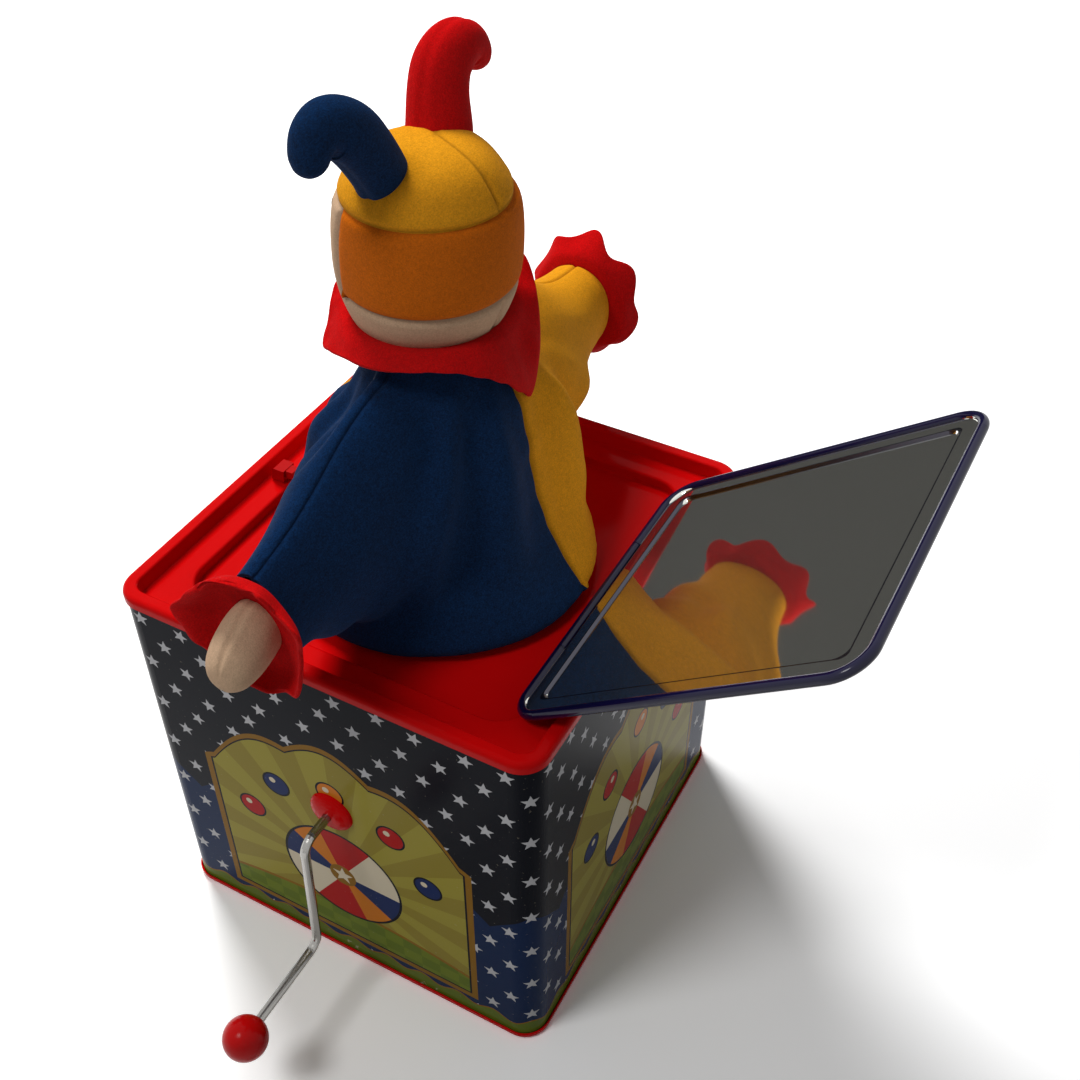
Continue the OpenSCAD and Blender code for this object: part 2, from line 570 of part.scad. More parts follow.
box_body();
top_plate();
bottom_plate();
hinge_knuckle();
hinge_pin();
hem_ring();
spring_seat();
coil_spring();
crank_bush();
movement_frame();
comb();
comb_screws();
latch_bracket();
latch_pin();
latch_spring();
lid();
crank_wire();
crank_knob();
crank_pinion();
crank_clip();
tune_drum();
drum_wheel();
trip_cam();
drum_arbor();
arbor_clip();
latch_lever();
catch_cap();
release_rod();
neck_plug();
face();
hair_band();
cap();
navy_horn();
red_horn();
nose();
eyes();
collar();
robe_navy();
robe_yellow();
left_cuff();
right_cuff();
left_hand();
right_hand();
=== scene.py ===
"""Dresses a musical jack-in-the-box: a printed tin box with its lid thrown back, a crank, and a felt
jester on a coil spring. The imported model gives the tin, the movement and the joints; the felt parts
are modelled here. Meshes are modelled in millimetres and brought to metres when they are finished.
"""

import logging
import math
from contextlib import contextmanager
from dataclasses import dataclass
from enum import Enum
from typing import Callable, Iterator, Optional, Sequence, Union

import bmesh
import bpy
from mathutils import Euler, Matrix, Vector

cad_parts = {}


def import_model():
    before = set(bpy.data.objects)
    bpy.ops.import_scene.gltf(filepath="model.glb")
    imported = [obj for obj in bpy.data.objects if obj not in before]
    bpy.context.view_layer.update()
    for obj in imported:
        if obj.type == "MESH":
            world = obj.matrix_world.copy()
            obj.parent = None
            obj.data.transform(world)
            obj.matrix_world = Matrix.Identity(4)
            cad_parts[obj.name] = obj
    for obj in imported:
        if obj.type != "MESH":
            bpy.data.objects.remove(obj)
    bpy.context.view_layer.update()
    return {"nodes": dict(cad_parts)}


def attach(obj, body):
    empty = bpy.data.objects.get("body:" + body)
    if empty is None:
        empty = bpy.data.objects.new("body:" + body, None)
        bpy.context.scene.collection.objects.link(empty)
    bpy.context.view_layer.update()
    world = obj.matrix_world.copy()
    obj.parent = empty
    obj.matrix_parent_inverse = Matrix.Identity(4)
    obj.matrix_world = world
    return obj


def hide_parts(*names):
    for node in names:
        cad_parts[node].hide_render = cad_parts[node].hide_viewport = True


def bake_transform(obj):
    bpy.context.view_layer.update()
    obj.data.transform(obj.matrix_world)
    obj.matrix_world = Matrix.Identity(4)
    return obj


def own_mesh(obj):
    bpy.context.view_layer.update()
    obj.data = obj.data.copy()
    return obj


log = logging.getLogger("jack_in_the_box")

MM = 0.001
# the vertex attribute of nearness to a sewn seam, which the felt darkens as painted shade in the seam's
# groove
SEAM = "seam"

Point = tuple[float, float, float]
Colour = tuple[float, float, float]


# ---------- small sums ----------


def clamp(value: float, low: float = 0.0, high: float = 1.0) -> float:
    """The value, kept between two limits."""
    return max(low, min(high, value))


def ease(value: float, start: float, end: float) -> float:
    """Smooth step from 0 at start to 1 at end."""
    t = clamp((value - start) / (end - start))
    return t * t * (3 - 2 * t)


def bump_at(value: float, centre: float, width: float) -> float:
    """A smooth hump of height 1 at the centre, gone at one width to either side."""
    t = clamp(abs(value - centre) / width)
    return (1 - t * t) ** 2


def turn_between(angle: float, other: float) -> float:
    """The smallest turn from one angle to another, in degrees."""
    return (angle - other + 180) % 360 - 180


def along(points: Sequence[Sequence[float]], t: float) -> list[float]:
    """Place on a smooth curve through points.

    Args:
        points: The points that the curve goes through, each of any number of values.
        t: 0 at the first point and 1 at the last.

    Returns:
        The values at t, on a Catmull-Rom curve.
    """
    last = len(points) - 1
    place = clamp(t) * last
    i = min(int(place), last - 1)
    u = place - i
    a, b, c, d = (points[max(0, min(last, k))] for k in (i - 1, i, i + 1, i + 2))
    return [
        0.5 * (2 * q + (r - p) * u + (2 * p - 5 * q + 4 * r - s) * u * u
               + (3 * q - p - 3 * r + s) * u ** 3)
        for p, q, r, s in zip(a, b, c, d)
    ]


def by_height(table: Sequence[tuple[float, float]], z: float) -> float:
    """Reads a table of heights and values, smoothly between its rows.

    Args:
        table: Pairs of height and value, upwards.
        z: A height.

    Returns:
        The value there.
    """
    for (low, first), (high, second) in zip(table, table[1:]):
        if z <= high:
            return first + (second - first) * ease(z, low, high)
    return table[-1][1]


def round_table(table: Sequence[Sequence[float]], angle: float) -> list[float]:
    """Reads a table of (angle, values...) as a smooth curve that closes on itself.

    Args:
        table: Rows in rising order of angle, in degrees, over less than one turn.
        angle: Where to read it, in degrees.

    Returns:
        The values at that angle.
    """
    start = table[0][0]
    angle = start + (angle - start) % 360
    rows = [*table, (start + 360, *table[0][1:])]
    i = max(k for k in range(len(table)) if rows[k][0] <= angle)
    u = (angle - rows[i][0]) / (rows[i + 1][0] - rows[i][0])
    u = u * u * (3 - 2 * u) * 0.6 + u * 0.4
    return [p + (q - p) * u for p, q in zip(rows[i][1:], rows[i + 1][1:])]


# ---------- bench: modelling by hand ----------


def choose(obj: bpy.types.Object) -> bpy.types.Object:
    """Makes one object the only selected and the active one."""
    bpy.ops.object.select_all(action="DESELECT")
    obj.select_set(True)
    bpy.context.view_layer.objects.active = obj
    return obj


@contextmanager
def editing(obj: bpy.types.Object) -> Iterator[bmesh.types.BMesh]:
    """Opens an object in edit mode with nothing selected.

    Args:
        obj: The mesh object to edit.

    Yields:
        Its edit mesh.
    """
    choose(obj)
    bpy.ops.object.mode_set(mode="EDIT")
    bpy.ops.mesh.select_mode(type="FACE")
    bpy.ops.mesh.select_all(action="DESELECT")
    try:
        yield bmesh.from_edit_mesh(obj.data)
    finally:
        bpy.ops.object.mode_set(mode="OBJECT")


def drum(name: str, columns: int, rows: int, capped: bool) -> bpy.types.Object:
    """A cylinder of radius 1 and height 1 that stands on z = 0, cut into rows.

    Args:
        name: Name of the piece.
        columns: Faces round it.
        rows: Faces up it, in tens above 100.
        capped: Whether its ends are closed.

    Returns:
        The new object.
    """
    bpy.ops.object.select_all(action="DESELECT")
    bpy.ops.mesh.primitive_cylinder_add(
        vertices=columns, radius=1, depth=1, location=(0, 0, 0.5),
        end_fill_type="TRIFAN" if capped else "NOTHING")
    obj = bpy.context.object
    obj.name = obj.data.name = name
    bpy.ops.object.transform_apply(location=True)
    # one subdivision makes up to 100 rows, so a longer drum is cut twice
    for share in (rows,) if rows <= 100 else (10, rows // 10):
        if share > 1:
            with editing(obj) as mesh:
                bpy.ops.mesh.select_mode(type="EDGE")
                for edge in mesh.edges:
                    edge.select = abs(edge.verts[0].co.z - edge.verts[1].co.z) > 1e-4
                mesh.select_flush(False)
                bpy.ops.mesh.subdivide(number_cuts=share - 1)
    return obj


def ball(name: str, segments: int, rings: int) -> bpy.types.Object:
    """A sphere of radius 1 with its poles on Z."""
    bpy.ops.object.select_all(action="DESELECT")
    bpy.ops.mesh.primitive_uv_sphere_add(segments=segments, ring_count=rings, radius=1)
    obj = bpy.context.object
    obj.name = obj.data.name = name
    return obj


def sculpt(obj: bpy.types.Object, move: Callable[[Vector], Sequence[float]]) -> None:
    """Moves each point of a mesh to where a function puts it."""
    for vertex in obj.data.vertices:
        vertex.co = move(vertex.co.copy())
    obj.data.update()


def push(obj: bpy.types.Object, depth: Callable[[Vector], float]) -> None:
    """Moves each point of a mesh along its normal by what a function gives."""
    moves = [vertex.normal * depth(vertex.co) for vertex in obj.data.vertices]
    for vertex, by in zip(obj.data.vertices, moves):
        vertex.co += by
    obj.data.update()


def cut(obj: bpy.types.Object, point: Point, normal: Point, drop: bool = False,
        where: Optional[Callable[[bmesh.types.BMFace], bool]] = None) -> None:
    """Cuts a mesh along a plane.

    Args:
        obj: The mesh to cut.
        point: A point of the plane.
        normal: The plane's normal.
        drop: Whether what lies on the normal's side is thrown away.
        where: Which faces are cut, or None for all.
    """
    with editing(obj) as mesh:
        for face in mesh.faces:
            face.select = where is None or where(face)
        mesh.select_flush(True)
        bpy.ops.mesh.bisect(plane_co=point, plane_no=normal, clear_outer=drop)


def keep_faces(obj: bpy.types.Object, wanted: Callable[[Vector], bool]) -> None:
    """Deletes the faces whose middle a test refuses."""
    with editing(obj) as mesh:
        for face in mesh.faces:
            face.select = not wanted(face.calc_center_median())
        mesh.select_flush(True)
        bpy.ops.mesh.delete(type="FACE")


def weld(obj: bpy.types.Object, gap: float = 0.01) -> None:
    """Merges doubled points and turns every face outwards."""
    with editing(obj):
        bpy.ops.mesh.select_all(action="SELECT")
        bpy.ops.mesh.remove_doubles(threshold=gap)
        bpy.ops.mesh.normals_make_consistent(inside=False)


def apply_modifier(obj: bpy.types.Object, kind: str, **values: object) -> None:
    """Adds a modifier with these values and applies it."""
    choose(obj)
    modifier = obj.modifiers.new(kind.lower(), kind)
    for key, value in values.items():
        setattr(modifier, key, value)
    bpy.ops.object.modifier_apply(modifier=modifier.name)


def thicken(obj: bpy.types.Object, thickness: float) -> None:
    """Gives a sheet its thickness, on its inner side."""
    apply_modifier(obj, "SOLIDIFY", thickness=thickness, offset=-1.0, use_even_offset=False)


def round_off(obj: bpy.types.Object, levels: int) -> None:
    """Subdivides a mesh into a smooth surface."""
    apply_modifier(obj, "SUBSURF", levels=levels, render_levels=levels)


def copy_of(obj: bpy.types.Object, name: str) -> bpy.types.Object:
    """A copy of an object with a mesh of its own."""
    twin = obj.copy()
    twin.data = obj.data.copy()
    twin.name = twin.data.name = name
    bpy.context.scene.collection.objects.link(twin)
    return twin


def mirrored(obj: bpy.types.Object, name: str) -> bpy.types.Object:
    """A copy of a piece on the other side of the middle plane, with its faces outwards."""
    twin = copy_of(obj, name)
    sculpt(twin, lambda p: (-p.x, p.y, p.z))
    with editing(twin):
        bpy.ops.mesh.select_all(action="SELECT")
        bpy.ops.mesh.flip_normals()
    return twin


def joined(parts: Sequence[bpy.types.Object], name: str) -> bpy.types.Object:
    """Joins parts into the first of them, under a new name."""
    choose(parts[0])
    for part in parts:
        part.select_set(True)
    if len(parts) > 1:
        bpy.ops.object.join()
    obj = bpy.context.object
    obj.name = obj.data.name = name
    return obj


def mark_seams(obj: bpy.types.Object, depth: Callable[[Vector], float]) -> None:
    """Keeps on each vertex how near it is to a sewn seam, for the felt's painted shade in the seam's groove.

    Args:
        obj: A mesh, still in millimetres.
        depth: The nearness at a place, from 0 to 1.
    """
    layer = obj.data.attributes.new(SEAM, "FLOAT", "POINT")
    for vertex, value in zip(obj.data.vertices, layer.data):
        value.value = clamp(depth(vertex.co))


def to_metres(obj: bpy.types.Object) -> bpy.types.Object:
    """Brings a finished mesh from millimetres to metres, smooth except where a cloth's cut edge turns."""
    choose(obj)
    obj.scale = (MM, MM, MM)
    bpy.ops.object.transform_apply(location=True, rotation=True, scale=True)
    bpy.ops.object.shade_smooth_by_angle(angle=math.radians(50))
    return obj


def follow(obj: bpy.types.Object, path: Sequence[Sequence[float]], up: Vector,
           groove: float = 0.0, crease: Point = (0.5, 1.0, 0.0)) -> None:
    """Lays a drum along a curve.

    Args:
        obj: A drum whose z runs from 0 to 1.
        path: Rows of (x, y, z, radius) that the drum's middle goes through.
        up: A direction that the curve never runs in.
        groove: How deep one column is sunk, as a seam.
        crease: Place along the curve, width and depth of a fold on the inner side of its bend.
    """
    step = 1e-3

    def place(p: Vector) -> Vector:
        """Where one point of the drum goes."""
        t = clamp(p.z)
        here = along(path, t)
        ahead, behind = along(path, min(1, t + step)), along(path, max(0, t - step))
        way = (Vector(ahead[:3]) - Vector(behind[:3])).normalized()
        side = up.cross(way).normalized()
        top = way.cross(side)
        radius = here[3] - (groove if p.length > 0 and abs(p.y) < 1e-4 and p.x > 0 else 0)
        out = p.x * side + p.y * top
        bend = Vector(ahead[:3]) + Vector(behind[:3]) - 2 * Vector(here[:3])
        if crease[2] and bend.length > 0 and out.length > 0:
            inner = clamp(out.normalized().dot(bend.normalized()))
            radius -= crease[2] * inner ** 3 * math.exp(-((t - crease[0]) / crease[1]) ** 2)
        return Vector(here[:3]) + radius * out

    sculpt(obj, place)


# ---------- finishes ----------


class Field:
    """A number that varies over a surface, built from shader nodes with ordinary sums."""

    def __init__(self, graph: "Graph", socket: bpy.types.NodeSocket) -> None:
        """Wraps one output socket of a graph."""
        self.graph = graph
        self.socket = socket

    def _with(self, operation: str, *others: Union["Field", float]) -> "Field":
        """The result of one Math node that starts from this field."""
        return self.graph.maths(operation, self, *others)

    def __add__(self, other: Union["Field", float]) -> "Field":
        """Field plus field or number."""
        return self._with("ADD", other)

    def __radd__(self, other: float) -> "Field":
        """Number plus field."""
        return self._with("ADD", other)

    def __sub__(self, other: Union["Field", float]) -> "Field":
        """Field less field or number."""
        return self._with("SUBTRACT", other)

    def __rsub__(self, other: float) -> "Field":
        """Number less field."""
        return self.graph.maths("SUBTRACT", other, self)

    def __mul__(self, other: Union["Field", float]) -> "Field":
        """Field times field or number."""
        return self._with("MULTIPLY", other)

    def __truediv__(self, other: Union["Field", float]) -> "Field":
        """Field over field or number."""
        return self._with("DIVIDE", other)

    def __abs__(self) -> "Field":
        """The size of the field, without its sign."""
        return self._with("ABSOLUTE")

    def __mod__(self, other: float) -> "Field":
        """What is left over a whole number of steps, never below 0."""
        return self._with("FLOORED_MODULO", other)

    def floor(self) -> "Field":
        """The whole number below."""
        return self._with("FLOOR")

    def sin(self) -> "Field":
        """The sine, of radians."""
        return self._with("SINE")

    def cos(self) -> "Field":
        """The cosine, of radians."""
        return self._with("COSINE")

    def sign(self) -> "Field":
        """-1, 0 or 1."""
        return self._with("SIGN")

    def least(self, other: Union["Field", float]) -> "Field":
        """The smaller of two."""
        return self._with("MINIMUM", other)

    def most(self, other: Union["Field", float]) -> "Field":
        """The larger of two."""
        return self._with("MAXIMUM", other)

    def below(self, limit: Union["Field", float]) -> "Field":
        """1 where it is below the limit, and else 0."""
        return self._with("LESS_THAN", limit)

    def above(self, limit: Union["Field", float]) -> "Field":
        """1 where it is above the limit, and else 0."""
        return self._with("GREATER_THAN", limit)


class Graph:
    """The node tree of one finish, with its shader and its output."""

    def __init__(self, name: str) -> None:
        """Starts an empty material with a Principled shader."""
        self.material = bpy.data.materials.new(name)
        self.material.use_nodes = True
        self.nodes = self.material.node_tree.nodes
        self.nodes.clear()
        self.shader = self.nodes.new("ShaderNodeBsdfPrincipled")
        output = self.nodes.new("ShaderNodeOutputMaterial")
        self.link(self.shader.outputs[0], output.inputs["Surface"])
        self._place: Optional[bpy.types.NodeSocket] = None

    def link(self, source: bpy.types.NodeSocket, target: bpy.types.NodeSocket) -> None:
        """Joins two sockets."""
        self.material.node_tree.links.new(source, target)

    def set(self, **values: object) -> None:
        """Sets the shader's sockets, named with underscores, to plain values."""
        for key, value in values.items():
            name = key.replace("_", " ").title().replace("Ior", "IOR")
            self.shader.inputs[name].default_value = value

    def colour(self, source: bpy.types.NodeSocket) -> None:
        """Gives the shader its colour."""
        self.link(source, self.shader.inputs["Base Color"])

    def roughness(self, field: Field) -> None:
        """Gives the shader its roughness."""
        self.link(field.socket, self.shader.inputs["Roughness"])

    @property
    def place(self) -> bpy.types.NodeSocket:
        """Object coordinates, in metres."""
        if self._place is None:
            self._place = self.nodes.new("ShaderNodeTexCoord").outputs["Object"]
        return self._place

    def axes(self) -> tuple[Field, Field, Field]:
        """The three object coordinates, in millimetres."""
        parts = self.nodes.new("ShaderNodeSeparateXYZ")
        self.link(self.place, parts.inputs[0])
        return tuple(Field(self, parts.outputs[i]) * 1000.0 for i in range(3))

    def attribute(self, name: str) -> Field:
        """A number kept on the mesh's vertices, or 0 on a mesh without it."""
        node = self.nodes.new("ShaderNodeAttribute")
        node.attribute_name = name
        return Field(self, node.outputs["Fac"])

    def maths(self, operation: str, *values: Union[Field, float]) -> Field:
        """A Math node.

        Args:
            operation: Its operation.
            values: One to three numbers or fields.

        Returns:
            The result.
        """
        node = self.nodes.new("ShaderNodeMath")
        node.operation = operation
        for socket, value in zip(node.inputs, values):
            if isinstance(value, Field):
                self.link(value.socket, socket)
            else:
                socket.default_value = value
        return Field(self, node.outputs[0])

    def noise(self, scale: float, detail: float = 2.0, roughness: float = 0.5,
              stretch: Point = (1, 1, 1)) -> Field:
        """Noise over the object's own coordinates.

        Args:
            scale: Size of its grain, as the number of cells in a metre.
            detail: Its octaves.
            roughness: How strong the finer octaves are.
            stretch: Scale of the pattern along each axis.

        Returns:
            The noise, from 0 to 1.
        """
        mapping = self.nodes.new("ShaderNodeMapping")
        mapping.inputs["Scale"].default_value = stretch
        self.link(self.place, mapping.inputs["Vector"])
        node = self.nodes.new("ShaderNodeTexNoise")
        node.inputs["Scale"].default_value = scale
        node.inputs["Detail"].default_value = detail
        node.inputs["Roughness"].default_value = roughness
        self.link(mapping.outputs[0], node.inputs["Vector"])
        return Field(self, node.outputs["Fac"])

    def ramp(self, field: Field, stops: Sequence[tuple[float, Colour]],
             steps: bool = False) -> bpy.types.NodeSocket:
        """Colours picked by a field.

        Args:
            field: What picks the colour.
            stops: Pairs of place and colour.
            steps: Whether the colours change at once.

        Returns:
            The colour's socket.
        """
        node = self.nodes.new("ShaderNodeValToRGB")
        ramp = node.color_ramp
        ramp.interpolation = "CONSTANT" if steps else "LINEAR"
        while len(ramp.elements) < len(stops):
            ramp.elements.new(0.5)
        for element, (place, colour) in zip(ramp.elements, stops):
            element.position = place
            element.color = (*colour, 1)
        self.link(field.socket, node.inputs[0])
        return node.outputs[0]

    def mix(self, share: Field, first: Union[Colour, bpy.types.NodeSocket],
            second: Union[Colour, bpy.types.NodeSocket]) -> bpy.types.NodeSocket:
        """Mixes two colours by a field: the first at 0 and the second at 1."""
        node = self.nodes.new("ShaderNodeMix")
        node.data_type = "RGBA"
        self.link(share.socket, node.inputs[0])
        for socket, value in ((node.inputs[6], first), (node.inputs[7], second)):
            if isinstance(value, tuple):
                socket.default_value = (*value, 1)
            else:
                self.link(value, socket)
        return node.outputs[2]

    def bump(self, height: Field, depth: float, strength: float = 1.0) -> None:
        """Gives the shader a relief.

        Args:
            height: Its height, from 0 to 1.
            depth: What a height of 1 stands proud, in millimetres.
            strength: How strongly it shows.
        """
        node = self.nodes.new("ShaderNodeBump")
        node.inputs["Distance"].default_value = depth * MM
        node.inputs["Strength"].default_value = strength
        self.link(height.socket, node.inputs["Height"])
        self.link(node.outputs[0], self.shader.inputs["Normal"])


def linear(red: float, green: float, blue: float) -> Colour:
    """A colour in 0-255 screen values, as the shader's linear values."""
    def one(value: float) -> float:
        """One channel."""
        value /= 255
        return value / 12.92 if value <= 0.04045 else ((value + 0.055) / 1.055) ** 2.4
    return (one(red), one(green), one(blue))


def scaled(colour: Colour, by: float) -> Colour:
    """A colour made lighter or darker."""
    return tuple(min(1.0, part * by) for part in colour)


@dataclass(frozen=True)
class Felt:
    """Napped felt: a mottled colour, a soft sheen, short fibres and painted shade along its seams."""

    name: str
    colour: Colour
    mottle: float
    # cells in a metre of the mottling and of the fibres
    cloud_grain: float = 650
    fibre_grain: float = 2300
    # painted shade in each sewn seam's groove: how strongly it darkens, and the share of the colour that is
    # left in its depth
    seam_shade_share: float = 0.7
    painted_seam_shade: float = 0.22
    # how high the nap stands, in millimetres
    nap: float = 0.36

    def material(self) -> bpy.types.Material:
        """Builds the felt's material."""
        graph = Graph(self.name)
        clouds = graph.noise(self.cloud_grain, 3, 0.6)
        fibres = graph.noise(self.fibre_grain, 3, 0.75)
        tone = clouds * 0.22 + fibres * 0.78
        dark = scaled(self.colour, 1 - 1.9 * self.mottle)
        light = scaled(self.colour, 1 + 2.3 * self.mottle)
        cloth = graph.ramp(tone, [(0.36, dark), (0.64, light)])
        # painted shade: the colour darkens towards each sewn seam, where its groove would be shaded
        seam = scaled(self.colour, self.painted_seam_shade)
        graph.colour(graph.mix(graph.attribute(SEAM) * self.seam_shade_share, cloth, seam))
        graph.bump(fibres * 0.65 + graph.noise(900, 3, 0.6) * 0.35, self.nap, 0.6)
        graph.set(roughness=0.92, sheen_weight=0.1, sheen_roughness=0.4, specular_ior_level=0.15)
        graph.shader.inputs["Sheen Tint"].default_value = (*scaled(self.colour, 1.6), 1)
        return graph.material


@dataclass(frozen=True)
class Paint:
    """Stoved enamel on tinplate: glossy, with a faint unevenness."""

    name: str
    colour: Colour
    roughness: float = 0.12
    coat: float = 0.01

    def material(self) -> bpy.types.Material:
        """Builds the enamel's material."""
        graph = Graph(self.name)
        clouds = graph.noise(22, 4, 0.6)
        graph.colour(graph.ramp(clouds, [(0.3, scaled(self.colour, 0.93)), (0.7, scaled(self.colour, 1.06))]))
        smears = graph.noise(38, 4, 0.7, (1, 1, 0.4))
        graph.roughness((smears - 0.5) * 0.12 + self.roughness)
        graph.bump(graph.noise(330, 2, 0.5), 0.012, 0.5)
        graph.set(coat_weight=self.coat, coat_roughness=0.06, specular_ior_level=0.035)
        graph.shader.inputs["Specular Tint"].default_value = (1, 0.4, 0.35, 1)
        return graph.material


@dataclass(frozen=True)
class Metal:
    """Bare metal with fine drawing marks along one axis."""

    name: str
    colour: Colour
    roughness: float
    grain: Point = (1, 1, 1)

    def material(self) -> bpy.types.Material:
        """Builds the metal's material."""
        graph = Graph(self.name)
        tarnish = graph.noise(60, 4, 0.6)
        graph.colour(graph.ramp(tarnish, [(0.3, scaled(self.colour, 0.88)), (0.7, self.colour)]))
        marks = graph.noise(900, 3, 0.6, self.grain)
        graph.roughness((marks - 0.5) * 0.1 + self.roughness)
        graph.bump(marks, 0.01, 0.4)
        graph.set(metallic=1.0)
        return graph.material


@dataclass(frozen=True)
class Wood:
    """Turned beech with its rings and pores."""

    name: str
    colour: Colour

    def material(self) -> bpy.types.Material:
        """Builds the wood's material."""
        graph = Graph(self.name)
        x, _, _ = graph.axes()
        rings = ((x * 2.2 + graph.noise(30, 3, 0.6, (1, 1, 0.2)) * 9.0).sin() + 1.0) * 0.5
        pores = graph.noise(1400, 2, 0.6, (1, 1, 0.08))
        graph.colour(graph.ramp(rings * 0.6 + pores * 0.4,
                                [(0.2, scaled(self.colour, 0.72)), (0.8, self.colour)]))
        graph.bump(pores, 0.05, 0.5)
        graph.set(roughness=0.6)
        return graph.material


@dataclass(frozen=True)
class Gloss:
    """Moulded, dipped or lacquered small parts, such as the ball knob and the eyes."""

    name: str
    colour: Colour
    roughness: float = 0.2

    def material(self) -> bpy.types.Material:
        """Builds the lacquer's material."""
        graph = Graph(self.name)
        clouds = graph.noise(90, 3, 0.6)
        graph.colour(graph.ramp(clouds, [(0.3, scaled(self.colour, 0.92)), (0.7, scaled(self.colour, 1.05))]))
        graph.roughness((graph.noise(160, 3, 0.6) - 0.5) * 0.08 + self.roughness)
        graph.bump(graph.noise(240, 2, 0.5), 0.02, 0.4)
        graph.set(coat_weight=0.01, coat_roughness=0.05, specular_ior_level=0.09)
        return graph.material


@dataclass(frozen=True)
class LidFinish:
    """The lid's navy enamel outside and round its rolled edge, and the bright plated tin inside, with painted
    shade along its pressed step.
    """

    name: str
    enamel: Colour
    mirror: Colour
    hinge: Point = (0, 54.2, 136.8)
    open_angle: float = 144
    panel_from: float = 1.6
    panel_to: float = 106.4
    panel_half: float = 52.4
    panel_corner: float = 7.0
    # the pressed step: how high the middle stands, and where its slope begins and ends
    step_high: float = 0.8
    step_from: float = 1.6
    step_to: float = 2.3
    # how far the painted shade along the step goes on beside the slope
    step_shade_spread: float = 0.3

    def material(self) -> bpy.types.Material:
        """Builds the lid's material, split by how far a point lies up the open lid."""
        graph = Graph(self.name)
        x, y, z = graph.axes()
        angle = math.radians(self.open_angle)
        # up runs from the hinge to the free edge, and out is the lid's outward normal as it stands open
        up = (y - self.hinge[1]) * -math.cos(angle) + (z - self.hinge[2]) * math.sin(angle)
        out = (y - self.hinge[1]) * math.sin(angle) + (z - self.hinge[2]) * math.cos(angle)
        middle = (self.panel_from + self.panel_to) / 2
        reach = (self.panel_to - self.panel_from) / 2
        dx = (abs(x) - (self.panel_half - self.panel_corner)).most(0.0)
        dy = (abs(up - middle) - (reach - self.panel_corner)).most(0.0)
        edge = graph.maths("SQRT", dx * dx + dy * dy)
        # the sheet's middle line follows the pressed step; the inner side is the plated one
        slope = ((edge - self.step_from) / (self.step_to - self.step_from)).most(0.0).least(1.0)
        sheet = (1.0 - slope) * self.step_high
        inside = edge.below(self.panel_corner) * out.below(sheet)
        # painted shade: on the pressed step's slope and a little beside it, the plating is painted dark
        # enamel, and it is rougher there
        step = edge.above(self.step_from - self.step_shade_spread) * edge.below(self.step_to + self.step_shade_spread)
        graph.colour(graph.mix(step * 0.9, graph.mix(inside, self.enamel, self.mirror), self.enamel))
        graph.link((inside * 0.985).socket, graph.shader.inputs["Metallic"])
        smears = graph.noise(30, 4, 0.65)
        graph.roughness(inside * ((smears - 0.5) * 0.03 - 0.12) + step * inside * 0.2 + 0.16)
        graph.set(specular_ior_level=0.3)
        graph.bump(graph.noise(24, 3, 0.5), 0.05, 0.25)
        return graph.material


